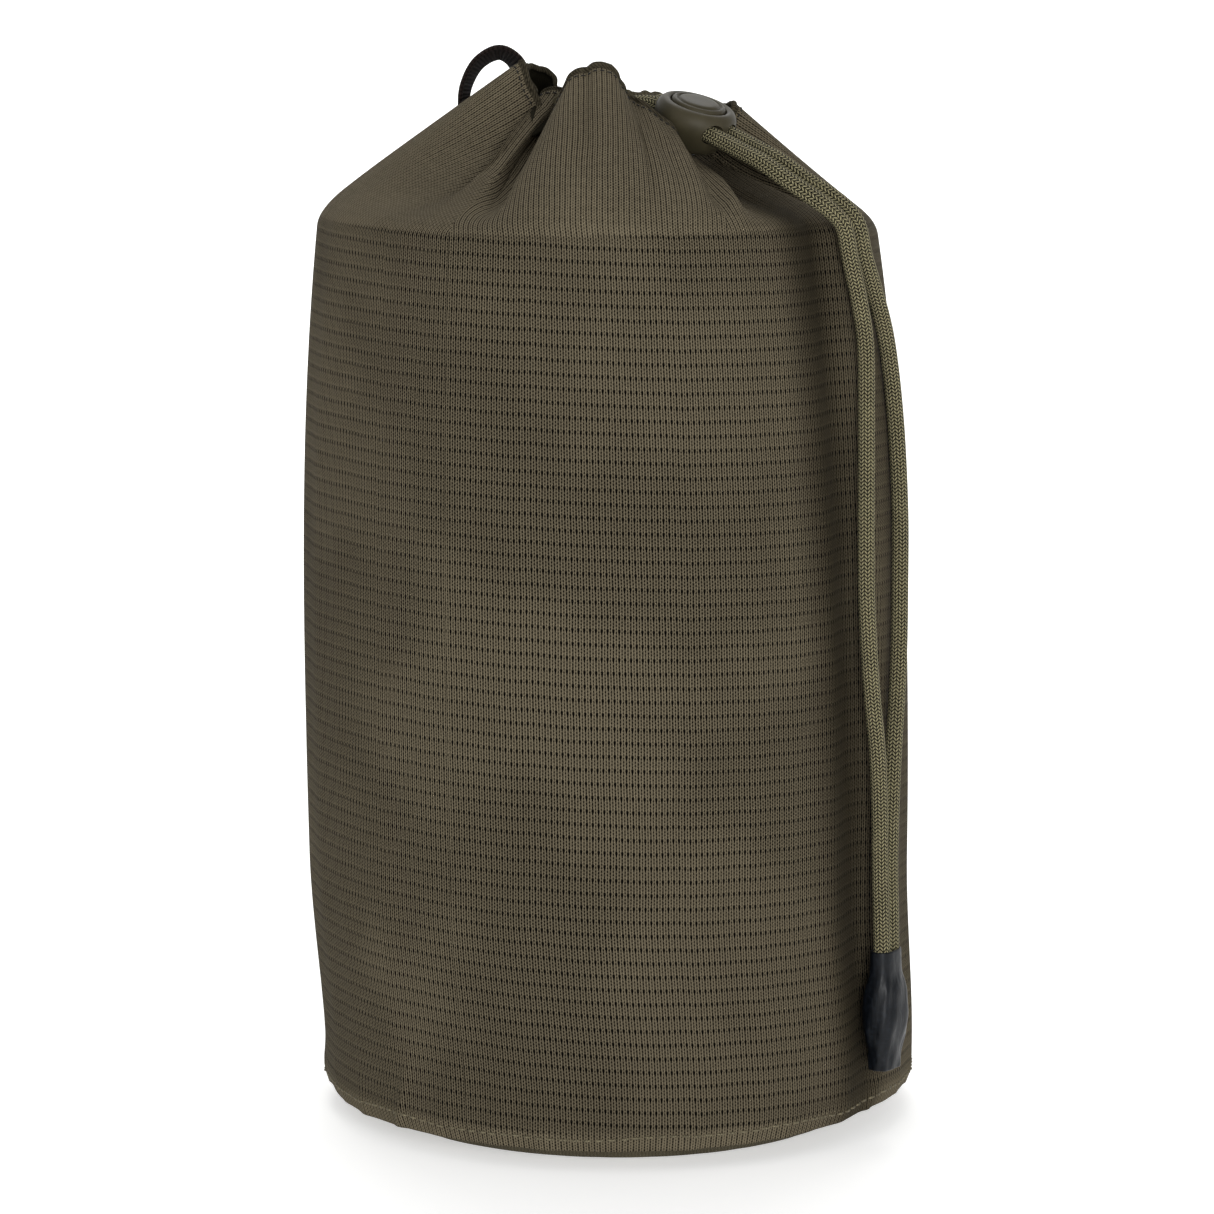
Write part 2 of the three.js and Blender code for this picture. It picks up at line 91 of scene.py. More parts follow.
GIRTH = TAU * BELLY_RADIUS
COLUMNS = 600  # of the panel's grid, round the sack
HEM_CHANNEL = 0.009
HEM_STITCHES_FROM_TO = (-94, 234)  # degrees, round the front

HOLE_PITCH = 0.00149
HOLE_ROW_PITCH = 0.00358
HOLE_HALF_WIDTH = 0.00027
HOLE_HALF_HEIGHT = 0.00074
HOLE_TAPER = 0.20  # a hole is wider towards its top, like a drop
GAP_HALF_WIDTH = 0.00021
GAPS_PER_ROW = 4  # rows of small gaps for each row of holes
FIRST_HOLE_ROW = 0.010  # along the panel, from the base seam
HOLE_ROW_CLIMB = 0.05  # metres up for each metre to the left

CORD_RADIUS = 0.00225
CORD_SIDES = 32
BRAID_PITCH = 0.00098
BRAID_STRANDS = 16
CORD_RING_RADIUS = 0.013
CORD_RING_HEIGHT = 0.2705
CORD_EXIT_AZIMUTH = 48
CORD_EXIT_HALF_ANGLE = 39
TUNNEL_RADIUS = 0.0031

LOCK_DISTANCE = 0.030
LOCK_HEIGHT = 0.2675
LOCK_SLOPE = 20  # degrees
LOCK_HOLE_RADIUS = 0.00262
LOCK_HOLE_OFFSET = 0.0036
LOCK_HOLE_FLARE = 0.0005
BUTTON_TRAVEL = 0.0016

SLEEVE_AZIMUTH = 58.5
SLEEVE_DISTANCE = 0.0855
LEG_SPACING = 0.0049
KNOT_HEIGHT = 0.0345
KNOT_HALF_SIZE = (0.0057, 0.0042, 0.0070)  # along the wall, across it and up
TAIL_HEIGHTS = (0.0272, 0.0204)

LOOP_Y = 0.0095
LOOP_WIDTH = 0.010
LOOP_THICKNESS = 0.0013

CLOTH_SPECULAR = 0.04
SHARP_ANGLE = 35  # degrees, of the edges of moulded and turned parts

# The drawcord's two legs, in millimetres: out of the tunnel, through the lock, over the
# shoulder and down the wall to the knot.
LEFT_LEG = [
    (2.3, -12.8, 270.5), (5.6, -12.7, 271.2), (9.1, -13.7, 271.7),
    (11.9, -15.5, 271.4), (14.0, -17.4, 270.4), (19.9, -22.8, 267.5),
    (26.9, -29.0, 264.1), (33.8, -35.3, 260.7), (39.5, -40.4, 257.9),
    (45.9, -43.9, 253.6), (51.7, -45.2, 249.8), (56.9, -44.8, 246.0),
    (60.4, -44.0, 241.8), (62.1, -42.6, 234), (64.4, -41.2, 224),
    (66.4, -40.5, 212), (66.7, -43.6, 192), (66.7, -46.9, 166),
    (66.9, -48.3, 147), (67.8, -48.0, 130), (68.8, -46.9, 118),
    (70.3, -45.2, 104), (71.0, -44.3, 89), (71.3, -44.5, 72),
    (71.6, -45.8, 60), (71.8, -46.9, 51), (71.9, -47.0, 42),
]
RIGHT_LEG = [
    (13.0, -0.9, 270.5), (13.2, -4.3, 271.2), (14.6, -7.6, 271.7),
    (16.7, -10.2, 271.4), (18.8, -12.1, 270.4), (24.7, -17.4, 267.5),
    (31.7, -23.7, 264.1), (38.7, -30.0, 260.7), (44.3, -35.0, 257.9),
    (50.7, -38.2, 253.4), (56.5, -39.0, 249.8), (61.3, -38.4, 246.0),
    (64.3, -37.6, 241.8), (66.2, -35.4, 234), (69.2, -31.7, 224),
    (72.4, -27.8, 212), (75.1, -25.9, 192), (76.6, -27.7, 166),
    (76.6, -30.5, 147), (76.4, -32.4, 130), (75.9, -34.0, 118),
    (75.0, -36.8, 104), (74.4, -38.4, 89), (74.1, -39.6, 72),
    (74.3, -41.5, 60), (74.4, -42.6, 51), (74.5, -42.7, 42),
]

# The mouth's hem: the panel's azimuth at the shoulder, and where it ends at the hem, x, y and
# z in millimetres. The pleats are the long ways out, and the valleys the short ones.
HEM = [
    (-24, -14, -11, 263.5), (-20, -13.8, -17, 268), (-16, -12.4, -22.5, 273.6),
    (-12, -10.4, -26, 278.4), (-7, -7.2, -28, 281.4), (-1, -3.2, -28.8, 281.9),
    (5, 0.6, -28.6, 281.2), (10, 3.6, -27.8, 277.8), (12.5, 5, -25.5, 274.8),
    (15, 7.5, -27.8, 273.4), (19, 12, -29.4, 269.8), (23, 16.8, -30.6, 266.2),
    (26, 19, -28.5, 263), (29, 20, -24, 260), (33, 18, -17, 258.5),
    (46, 20, -12, 258), (58, 22, -10, 259), (66, 24, -8, 260),
    (74, 30, -11, 265), (84, 33.5, -9, 270.5), (95, 32.5, -2, 271),
    (108, 27, 2, 268), (116, 19, 5, 264), (124, 25, 10, 268),
    (140, 23, 18, 270), (155, 15, 22, 269), (163, 8, 16, 265),
    (172, 6, 24, 270), (186, -3, 27, 273), (200, -9, 22, 276),
    (208, -12, 16, 275), (216, -16, 19, 278), (232, -21.5, 15, 280),
    (250, -25, 8, 279.5), (262, -21, 4, 276), (272, -23.8, 1, 281),
    (282, -22.6, -4, 281.4), (291, -21, -7, 276.8), (303, -17.8, -8.5, 270.6),
    (316, -16, -10, 265), (320, -16.5, -6, 269), (324, -18, -2, 273.5),
    (329, -12, -2, 274.5), (333, -12.5, -7, 268),
]
PLEAT_CRESTS = (2, 46, 88, 140, 186, 234, 284)
PLEAT_VALLEYS = (-30, 27, 66, 116, 163, 208, 262)

# Folds of the gathered top: azimuth at the shoulder and at the hem, height in millimetres,
# spread in degrees, and the share of the way up over which the fold rises.
FOLDS = [
    (-26, -26, -2.4, 3.0, 0.02, 0.40),
    (-20, -20, 1.6, 4.0, 0.02, 0.40),
    (-1, -6, -1.1, 2.2, 0.10, 0.60),
    (5, -1, 0.7, 3.0, 0.10, 0.60),
    (22, 14, -1.0, 1.8, 0.25, 0.70),
    (27, 27, -2.6, 2.4, 0.02, 0.35),
    (31, 31, 1.6, 3.5, 0.02, 0.25),
    (45, 42, -1.6, 3.0, 0.05, 0.45),
    (66, 66, -2.6, 3.0, 0.02, 0.40),
    (98, 96, -0.9, 3.0, 0.20, 0.70),
    (116, 116, -2.8, 3.0, 0.02, 0.40),
    (134, 132, -0.9, 3.0, 0.20, 0.70),
    (163, 163, -2.8, 3.0, 0.02, 0.40),
    (181, 179, -0.9, 2.5, 0.20, 0.70),
    (208, 208, -2.8, 3.0, 0.02, 0.40),
    (240, 238, -1.0, 3.0, 0.20, 0.70),
    (262, 262, -2.6, 3.0, 0.02, 0.40),
    (294, 296, -0.9, 3.0, 0.20, 0.70),
    (314, 316, -1.0, 3.0, 0.15, 0.60),
]

# ---- numbers and curves

rng = np.random.default_rng(7)


def smoothstep(x, low, high):
    t = np.clip((x - low) / (high - low), 0, 1)
    return t * t * (3 - 2 * t)


def hill(x, width):
    """A smooth hill: 1 where x is 0, and falling away over width on each side."""
    return np.exp(-((x / width) ** 2))


def circle(count):
    """That many angles, evenly round a circle, in radians."""
    return np.linspace(0, TAU, count, endpoint=False)


def stacked(*coordinates):
    """Arrays of coordinates, broadcast together, as an array of points."""
    return np.stack(np.broadcast_arrays(*coordinates), axis=-1)


def degrees_from(azimuth, centre):
    """The turn from centre to azimuth, between -180 and 180 degrees."""
    return (azimuth - centre + 180) % 360 - 180


def around(azimuth, radius, height, centre_x=0.0):
    """Points at that azimuth and radius. The arguments may be arrays."""
    a = np.radians(azimuth)
    return stacked(centre_x + radius * np.sin(a), -radius * np.cos(a), height)


def normalised(vectors):
    return vectors / np.maximum(np.linalg.norm(vectors, axis=-1, keepdims=True), 1e-12)


def closed_curve(knots, values, at):
    """Smooth interpolation, round 360 degrees, of values known at increasing knots."""
    knots = np.asarray(knots, float)
    gap = np.diff(np.append(knots, knots[0] + 360))[:, None]
    gap_before = np.roll(gap, 1, axis=0)
    slope = (np.roll(values, -1, axis=0) - values) / gap
    tangent = (np.roll(slope, 1, axis=0) * gap + slope * gap_before) / (gap + gap_before)
    at = (np.asarray(at) - knots[0]) % 360 + knots[0]
    i = np.searchsorted(knots, at, side="right") - 1
    j = (i + 1) % len(knots)
    h = gap[i]
    t = ((at - knots[i]) / gap[i, 0])[:, None]
    return (
        (2 * t**3 - 3 * t**2 + 1) * values[i]
        + (t**3 - 2 * t**2 + t) * h * tangent[i]
        + (3 * t**2 - 2 * t**3) * values[j]
        + (t**3 - t**2) * h * tangent[j]
    )


def smooth_route(points, spacing):
    """Evenly spaced points on the centripetal Catmull-Rom curve through the given ones."""

    def between(first, second, low, high):
        return ((high - t) * first + (t - low) * second) / (high - low)

    p = np.asarray(points, float)
    p = np.vstack([2 * p[0] - p[1], p, 2 * p[-1] - p[-2]])
    found = []
    for k in range(len(p) - 3):
        p0, p1, p2, p3 = p[k : k + 4]
        gaps = np.sqrt(np.linalg.norm(np.diff(p[k : k + 4], axis=0), axis=1))
        t0, t1, t2, t3 = np.concatenate([[0], np.cumsum(gaps)])
        t = np.linspace(t1, t2, 24, endpoint=False)[:, None]
        a1, a2, a3 = between(p0, p1, t0, t1), between(p1, p2, t1, t2), between(p2, p3, t2, t3)
        b1, b2 = between(a1, a2, t0, t2), between(a2, a3, t1, t3)
        found.append(between(b1, b2, t1, t2))
    return evenly_spaced(np.vstack([*found, p[-2]]), spacing)


def along(line):
    """How far along the line each of its points is."""
    steps = np.linalg.norm(np.diff(line, axis=0), axis=1)
    return np.concatenate([[0], np.cumsum(steps)])


def values_at(values, reach, at):
    """Triples that are known at reach along a line, at other places along it."""
    return np.stack([np.interp(at, reach, values[:, k]) for k in range(3)], axis=1)


def evenly_spaced(line, spacing):
    reach = along(line)
    count = max(2, round(reach[-1] / spacing) + 1)
    return values_at(line, reach, np.linspace(0, reach[-1], count))


def carried_frames(line, closed=False):
    """Two unit vectors across the line at each point, turning as little as possible."""
    if closed:
        tangents = normalised(np.roll(line, -1, axis=0) - np.roll(line, 1, axis=0))
    else:
        tangents = normalised(np.gradient(line, axis=0))
    side = np.cross(tangents[0], (0, 0, 1))
    if np.linalg.norm(side) < 0.2:
        side = np.cross(tangents[0], (1, 0, 0))
    side = normalised(side)
    sides = []
    for t in tangents:
        side = normalised(side - t * np.dot(side, t))
        sides.append(side)
    return np.array(sides), np.cross(tangents, sides)


def ring_directions(first, second, count):
    """Unit vectors evenly round each point of a line, from two that lie across it there."""
    angle = circle(count)[:, None]
    return first[:, None] * np.cos(angle) + second[:, None] * np.sin(angle)


# ---- meshes


def link(obj):
    bpy.context.scene.collection.objects.link(obj)
    return obj


def mesh_object(name, vertices, faces, materials, smooth_below=180, uv=None, face_material=None):
    """A mesh piece. uv holds one pair for each corner of each face, in the faces' order."""
    mesh = bpy.data.meshes.new(name)
    faces = faces.tolist() if isinstance(faces, np.ndarray) else faces
    mesh.from_pydata(np.asarray(vertices).reshape(-1, 3).tolist(), [], faces)
    for material in materials:
        mesh.materials.append(material)
    if uv is not None:
        layer = mesh.uv_layers.new(name="cloth")
        layer.data.foreach_set("uv", np.asarray(uv, np.float32).ravel())
    if face_material is not None:
        mesh.polygons.foreach_set("material_index", np.asarray(face_material, np.int32))
    mesh.polygons.foreach_set("use_smooth", np.ones(len(mesh.polygons), bool))
    mesh.update()
    if smooth_below < 180:
        mesh.set_sharp_from_angle(angle=math.radians(smooth_below))
    return link(bpy.data.objects.new(name, mesh))


def grid_faces(rows, columns, closed_columns=True, closed_rows=False):
    """Quads of a grid of points, as an array of four indices each."""
    last_row = rows if closed_rows else rows - 1
    last_column = columns if closed_columns else columns - 1
    r, c = np.meshgrid(np.arange(last_row), np.arange(last_column), indexing="ij")
    r2, c2 = (r + 1) % rows, (c + 1) % columns
    corners = [r * columns + c, r * columns + c2, r2 * columns + c2, r2 * columns + c]
    return np.stack(corners, axis=-1).reshape(-1, 4)


def end_caps(sides, last, first=0):
    """The faces that close a tube, from the first points of its first and last rings."""
    return [list(range(first, first + sides))[::-1], list(range(last, last + sides))]


def tube(name, line, radius, material, sides=28, closed=False):
    """A round tube along a line. radius is one number, or an array of (points, sides).

    Its uv is the share of the way round, and how far along it is in metres."""
    out = ring_directions(*carried_frames(line, closed), sides)
    radius = np.broadcast_to(np.asarray(radius, float), out.shape[:2])
    points = line[:, None, :] + out * radius[..., None]
    faces = grid_faces(len(line), sides, True, closed).tolist()
    reach = along(np.vstack([line, line[:1]]) if closed else line)
    rows = len(line) if closed else len(line) - 1
    share = np.arange(sides + 1) / sides
    low, high = reach[:rows, None], reach[1 : rows + 1, None]
    left, right = share[None, :-1], share[None, 1:]
    corners = ((left, low), (right, low), (right, high), (left, high))
    uv = np.stack([stacked(*corner) for corner in corners], axis=2).reshape(-1, 2)
    if not closed:
        faces += end_caps(sides, (len(line) - 1) * sides)
        uv = np.vstack([uv, np.zeros((2 * sides, 2))])
    return mesh_object(name, points, faces, [material], 60, uv)


def lathe_object(name, profile, material, segments=96):
    """A turned shape: profile is a closed run of (radius, height), from axis to axis."""
    rings = [(r, z) for r, z in profile if r > 0]
    a = circle(segments)
    points = [stacked(r * np.cos(a), r * np.sin(a), z) for r, z in rings]
    faces = grid_faces(len(rings), segments).tolist()
    faces += end_caps(segments, (len(rings) - 1) * segments)
    return mesh_object(name, np.vstack(points), faces, [material], SHARP_ANGLE)


def cut_away(obj, cutters):
    """obj without what the cutters hold. The cutters are removed."""
    for cutter in cutters:
        modifier = obj.modifiers.new("cut", "BOOLEAN")
        modifier.operation = "DIFFERENCE"
        modifier.solver = "EXACT"
        modifier.object = cutter
    graph = bpy.context.evaluated_depsgraph_get()
    made = bpy.data.meshes.new_from_object(obj.evaluated_get(graph))
    obj.modifiers.clear()
    obj.data = made
    made.polygons.foreach_set("use_smooth", np.ones(len(made.polygons), bool))
    made.set_sharp_from_angle(angle=math.radians(SHARP_ANGLE))
    for cutter in cutters:
        bpy.data.objects.remove(cutter)
    return obj


def dashes(name, line, outwards, material, length, pitch, radius, closed=True):
    """A row of stitches along a line: short threads with rounded ends, half sunk in."""
    loop = np.vstack([line, line[:1]]) if closed else line
    ways = np.vstack([outwards, outwards[:1]]) if closed else outwards
    reach = along(loop)
    count = int(reach[-1] / pitch)
    pitch = reach[-1] / count
    shares = np.array([0.0, 0.12, 0.5, 0.88, 1.0])
    girth = np.array([0.35, 0.85, 1.0, 0.85, 0.35])
    lift = np.array([-0.7, 0.15, 0.6, 0.15, -0.7])
    sides = 6
    quads = grid_faces(len(shares), sides)
    last_ring = (len(shares) - 1) * sides
    vertices, faces = [], []
    for k in range(count):
        at = k * pitch + shares * length
        centre = values_at(loop, reach, at)
        way = normalised(values_at(ways, reach, at))
        side = normalised(np.cross(normalised(np.gradient(centre, axis=0)), way))
        centre = centre + way * (lift * radius)[:, None]
        ring = ring_directions(side, way, sides)
        points = centre[:, None, :] + ring * (girth * radius)[:, None, None]
        base = k * len(shares) * sides
        vertices.append(points.reshape(-1, 3))
        faces.extend((quads + base).tolist())
        faces += end_caps(sides, base + last_ring, base)
    return mesh_object(name, np.vstack(vertices), faces, [material])


# ---- material arithmetic


class Number:
    """A number inside a material's node tree, so that a pattern reads as arithmetic."""

    def __init__(self, tree, socket):
        self.tree = tree
        self.socket = socket

    def math(self, operation, *others):
        node = self.tree.nodes.new("ShaderNodeMath")
        node.operation = operation
        for put, value in zip(node.inputs, (self, *others)):
            if isinstance(value, Number):
                self.tree.links.new(value.socket, put)
            else:
                put.default_value = value
        return Number(self.tree, node.outputs[0])

    __add__ = __radd__ = partialmethod(math, "ADD")
    __sub__ = partialmethod(math, "SUBTRACT")
    __mul__ = __rmul__ = partialmethod(math, "MULTIPLY")
    __truediv__ = partialmethod(math, "DIVIDE")
    fract = partialmethod(math, "FRACT")
    floor = partialmethod(math, "FLOOR")
    absolute = partialmethod(math, "ABSOLUTE")
    power = partialmethod(math, "POWER")
    root = partialmethod(math, "SQRT")
    cosine = partialmethod(math, "COSINE")

    def __rsub__(self, other):
        return self * -1 + other

    def wave(self, pitch):
        """A cosine wave of that pitch, between -1 and 1."""
        return (self * (TAU / pitch)).cosine()

    def ridges(self, pitch):
        """The same wave between 0 and 1."""
        return self.wave(pitch) * 0.5 + 0.5

    def from_middle(self, half_width, other, half_height):
        """How far out self and other are in an oval of those half sizes: 1 at its edge."""
        return ((self / half_width).power(2) + (other / half_height).power(2)).root()

    def ramp(self, low, high):
        """0 below low, 1 above high, and smooth between them."""
        node = self.tree.nodes.new("ShaderNodeMapRange")
        node.interpolation_type = "SMOOTHSTEP"
        self.tree.links.new(self.socket, node.inputs["Value"])
        node.inputs["From Min"].default_value = low
        node.inputs["From Max"].default_value = high
        return Number(self.tree, node.outputs["Result"])


def srgb(red, green, blue):
    """A colour given as it shows, from 0 to 255, as the linear colour that a shader takes."""
    shown = np.array([red, green, blue]) / 255
    linear = np.where(shown <= 0.04045, shown / 12.92, ((shown + 0.055) / 1.055) ** 2.4)
    return (*linear.tolist(), 1.0)


class Finish:
    """A material in the making: its tree, its shader, and its coordinates."""

    def __init__(self, name, roughness, **sockets):
        self.material = bpy.data.materials.new(name)
        self.material.use_nodes = True
        self.tree = self.material.node_tree
        self.shader = self.tree.nodes["Principled BSDF"]
        self.put(self.shader, Roughness=roughness, **sockets)

    def put(self, node, **inputs):
        """Sets each named input of a node to a value, or links it to a socket."""
        for name, value in inputs.items():
            socket = node.inputs[name.replace("_", " ")]
            if isinstance(value, bpy.types.NodeSocket):
                self.tree.links.new(value, socket)
            else:
                socket.default_value = value
        return node

    def new(self, kind, **inputs):
        return self.put(self.tree.nodes.new("ShaderNode" + kind), **inputs)

    def parts(self, vector):
        """The three numbers of a vector socket."""
        split = self.new("SeparateXYZ", Vector=vector)
        return [Number(self.tree, socket) for socket in split.outputs]

    def cloth_uv(self):
        """The two coordinates of the mesh's own uv, in metres for cloth."""
        node = self.new("UVMap")
        node.uv_map = "cloth"
        return self.parts(node.outputs["UV"])[:2]

    def place(self):
        """The object's own coordinates."""
        return self.parts(self.new("TexCoord").outputs["Object"])

    def noise(self, scale, detail=2.0, stretch=(1, 1, 1)):
        """Cloudy noise between about 0.3 and 0.7, with features of about 1 / scale metres."""
        place = self.new("TexCoord").outputs["Object"]
        mapping = self.new("Mapping", Vector=place, Scale=stretch)
        node = self.new("TexNoise", Vector=mapping.outputs[0], Scale=scale, Detail=detail)
        return Number(self.tree, node.outputs["Fac"])

    def mix(self, share, first, second):
        """Between two colours: each the outcome of another mix, or as it shows, 0 to 255."""
        node = self.tree.nodes.new("ShaderNodeMix")
        node.data_type = "RGBA"
        self.tree.links.new(share.socket, node.inputs[0])
        for put, colour in ((6, first), (7, second)):
            if isinstance(colour, tuple):
                node.inputs[put].default_value = srgb(*colour)
            else:
                self.tree.links.new(colour, node.inputs[put])
        return node.outputs[2]

    def colour(self, share, first, second):
        """The surface's colour, between two colours as mix takes them."""
        self.put(self.shader, Base_Color=self.mix(share, first, second))

    def roughness(self, number):
        self.put(self.shader, Roughness=number.socket)

    def relief(self, height, depth, strength=1.0):
        """A bump of that depth in metres where height goes from 0 to 1."""
        node = self.new("Bump", Strength=strength, Distance=depth, Height=height.socket)
        self.put(self.shader, Normal=node.outputs["Normal"])


# ---- materials


def knitted_mesh(first_row, last_row):
    """The sack's knitted mesh. Rows of drop-shaped holes lie between first_row and last_row,
    measured up the panel, and climb a little towards the left. A staggered net of small gaps
    fills the rest, in the dark lines between upright ribs. Beside the side seam, a band of
    painted shade darkens the cloth."""
    f = Finish("knitted_mesh", 0.9, Specular_IOR_Level=CLOTH_SPECULAR)
    u, v = f.cloth_uv()
    climb = v + f.place()[0] * HOLE_ROW_CLIMB + (f.noise(35) - 0.5) * 0.0007
    u = u + (f.noise(50) - 0.5) * 0.0006
    x = ((u / HOLE_PITCH).fract() - 0.5) * HOLE_PITCH
    y = ((climb / HOLE_ROW_PITCH).fract() - 0.5) * HOLE_ROW_PITCH
    distance = x.from_middle(y * HOLE_TAPER + HOLE_HALF_WIDTH, y, HOLE_HALF_HEIGHT)
    has_holes = v.ramp(first_row - 0.001, first_row + 0.001) * (
        1 - v.ramp(last_row - 0.0010, last_row + 0.0002)
    )
    # The holes are painted near black: painted shade of the sack's inside seen through them.
    hole = (1 - distance.ramp(0.75, 1.25)) * (has_holes * 0.85 + 0.15)
    arch = distance.ramp(1.0, 1.35) * (1 - distance.ramp(1.5, 2.4))

    half_pitch = HOLE_PITCH / 2
    column = (u / half_pitch + 0.5).floor()
    gap_x = (u / half_pitch - column) * half_pitch
    shift = (column / 2).fract() - 0.5
    gap_y = (climb / HOLE_ROW_PITCH * GAPS_PER_ROW + 0.14 + shift).fract() - 0.5
    gap = 1 - gap_x.from_middle(GAP_HALF_WIDTH, gap_y, 0.34).ramp(0.45, 1.25)

    # Painted shade: a dark band along the side seam's hollow, a little to its left.
    seam_shade_u = (SIDE_SEAM_FOOT + v * SIDE_SEAM_SLANT) * GIRTH / 360 - SEAM_SHADE_TO_LEFT
    seam_shade = 1 - (u - seam_shade_u).absolute().ramp(0.003, 0.018)
    stretched = f.noise(16, 2).ramp(0.46, 0.62)
    rib = 1 - u.ridges(half_pitch)
    broad_rib = u.ridges(HOLE_PITCH)
    fibres = f.noise(2600, 3)
    cloudy = f.noise(28, 3)
    streaks = f.noise(700, 2, (1, 1, 0.25))
    light = (
        rib * (0.36 + stretched * 0.16)
        + broad_rib * (0.30 - has_holes * 0.16)
        + arch * has_holes * 0.12
        + fibres * 0.50
        + cloudy * 0.10
        + streaks * (1 - has_holes) * 0.30
        - gap * (0.56 - stretched * 0.20)
        - 0.12
    )
    yarn = f.mix(light, (12, 9, 5), (114, 105, 86))
    yarn = f.mix(f.noise(9, 2).ramp(0.42, 0.62) * 0.10, yarn, (54, 46, 39))
    # The side seam's band of painted shade darkens the yarn here.
    yarn = f.mix(seam_shade * 0.66, yarn, (20, 16, 7))
    # The holes take their painted shade here.
    f.colour(hole, yarn, (3, 2, 1))
    f.relief(light * 0.8 - hole * 1.2, 0.00035, 0.9)
    return f.material


def rolled_hem():
    """The knitted mesh where it is turned and sewn: no holes, short slanted stitches."""
    f = Finish("rolled_hem", 0.9, Specular_IOR_Level=CLOTH_SPECULAR)
    u, v = f.cloth_uv()
    twill = (u + v * 0.8).ridges(0.0011)
    fuzz = f.noise(900, 4)
    light = twill * 0.4 + fuzz * 0.9 - 0.2
    f.colour(light, (20, 17, 11), (80, 74, 60))
    f.relief(twill * 0.5 + fuzz, 0.0003, 0.8)
    return f.material


def inner_face():
    """The panel's smooth inner side, seen in the mouth."""
    f = Finish("mesh_inner_face", 0.9, Specular_IOR_Level=CLOTH_SPECULAR)
    u, v = f.cloth_uv()
    weave = u.wave(0.0008) * v.wave(0.0008) * 0.5 + 0.5
    f.colour(weave * 0.5 + f.noise(150, 3) * 0.5, (24, 22, 15), (44, 41, 31))
    f.relief(weave, 0.0001, 0.5)
    return f.material


def base_cloth():
    """The close plain weave of the round base."""
    f = Finish("base_cloth", 0.9, Specular_IOR_Level=CLOTH_SPECULAR)
    x, y, _ = f.place()
    yarn_pitch = 0.0009
    checks = ((x / yarn_pitch).floor() + (y / yarn_pitch).floor()) / 2
    over = checks.fract() * 2
    weave = x.ridges(yarn_pitch) * over + y.ridges(yarn_pitch) * (1 - over)
    cloudy = f.noise(60, 4)
    f.colour(weave * 0.4 + cloudy * 0.6, (34, 30, 21), (100, 93, 74))
    f.relief(weave, 0.00025, 0.7)
    f.roughness(0.7 + cloudy * 0.2)
    return f.material


def braided_cord():
    """A round braid: slanted strands in columns that lean left and right by turns."""
    f = Finish("braided_cord", 0.7, Specular_IOR_Level=0.12)
    around_share, reach = f.cloth_uv()
    column = around_share * BRAID_STRANDS
    place = column.fract() - 0.5
    leans = (column.floor() / 2).fract() * 4 - 1
    phase = (reach / BRAID_PITCH + leans * place * 0.95).fract() - 0.5
    strand = 1 - (phase.absolute() * 2).ramp(0.25, 0.85)
    edge = 1 - (place.absolute() * 2).ramp(0.55, 1.0)
    raised = strand * edge
    cloudy = f.noise(220, 3)
    threads = (reach + leans * place * 0.003).ridges(0.00022) * 0.16
    light = raised * 0.92 + cloudy * 0.30 - 0.16 + threads * raised
    f.colour(light, (7, 6, 3), (186, 177, 138))
    f.relief(raised + threads, 0.0005, 1.0)
    return f.material


def moulded_plastic():
    """The lock's satin nylon, with the faint grain of its mould."""
    f = Finish("moulded_plastic", 0.48, Specular_IOR_Level=0.18)
    cloudy = f.noise(120, 3)
    grain = f.noise(2600, 2)
    f.colour(cloudy.ramp(0.3, 0.7), (50, 46, 33), (62, 57, 42))
    f.relief(grain, 0.00004, 0.5)
    f.roughness(0.40 + cloudy * 0.2)
    return f.material


def shrink_tube():
    """Black shrink tube, with soft creases and a scuffed sheen."""
    f = Finish("shrink_tube", 0.42, Specular_IOR_Level=0.22)
    creases = f.noise(260, 4, (1, 1, 0.35))
    scuffs = f.noise(900, 3)
    f.colour(scuffs.ramp(0.45, 0.75) * 0.6, (5, 8, 13), (20, 26, 34))
    f.relief(creases, 0.0007, 0.7)
    f.roughness(0.30 + scuffs * 0.26)
    return f.material


def ribbed_webbing():
    """Narrow dark webbing, ribbed across, with thicker woven edges."""
    f = Finish("ribbed_webbing", 0.8, Specular_IOR_Level=0.1)
    across, reach = f.cloth_uv()
    edge = ((across / LOOP_WIDTH - 0.5).absolute() * 2).ramp(0.74, 0.9)
    rib = (reach + edge * 0.0003).ridges(0.00105)
    warp = across.ridges(0.0008)
    fuzz = f.noise(700, 3)
    light = rib * 0.5 + warp * 0.2 + edge * 0.25 + fuzz * 0.3 - 0.2
    f.colour(light, (6, 4, 3), (44, 36, 33))
    f.relief(rib * 0.8 + warp * 0.3 + edge * 0.4, 0.00035, 0.9)
    return f.material


def sewing_thread(name, dark, light):
    """Twisted polyester thread."""
    f = Finish(name, 0.7, Specular_IOR_Level=0.3)
    twist = f.noise(2200, 2)
    f.colour(twist.ramp(0.35, 0.65), dark, light)
    f.relief(twist, 0.0001, 0.6)
    return f.material


def seam_tape():
    """The narrow woven tape that binds the raw edges inside."""
    f = Finish("seam_tape", 0.85, Specular_IOR_Level=0.2)
    x, y, z = f.place()
    weave = z.wave(0.0008) * (x + y).wave(0.0011) * 0.5 + 0.5
    f.colour(weave * 0.6 + f.noise(200, 3) * 0.4, (24, 22, 15), (50, 46, 35))
    f.relief(weave, 0.0002, 0.7)
    return f.material


def spring_wire():
    """Drawn steel wire with fine drawing marks."""
    f = Finish("spring_wire", 0.28, Metallic=1.0)
    marks = f.noise(1500, 2, (1, 1, 4))
    f.colour(marks, (150, 150, 152), (205, 205, 208))
    f.roughness(0.2 + marks * 0.2)
    return f.material


def studio_floor():
    f = Finish("studio_floor", 0.9, Emission_Color=(1, 1, 1, 1), Emission_Strength=0.45)
    f.colour(f.noise(3, 2), (236, 236, 235), (242, 242, 241))
    return f.material


def dress(piece, body, nodes, slot):
    """Hangs a piece on its body, and hides the CAD nodes that it stands for. slot, its finish, is
    not used.
    """
    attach(piece, body)
    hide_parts(*nodes)


# ---- camera


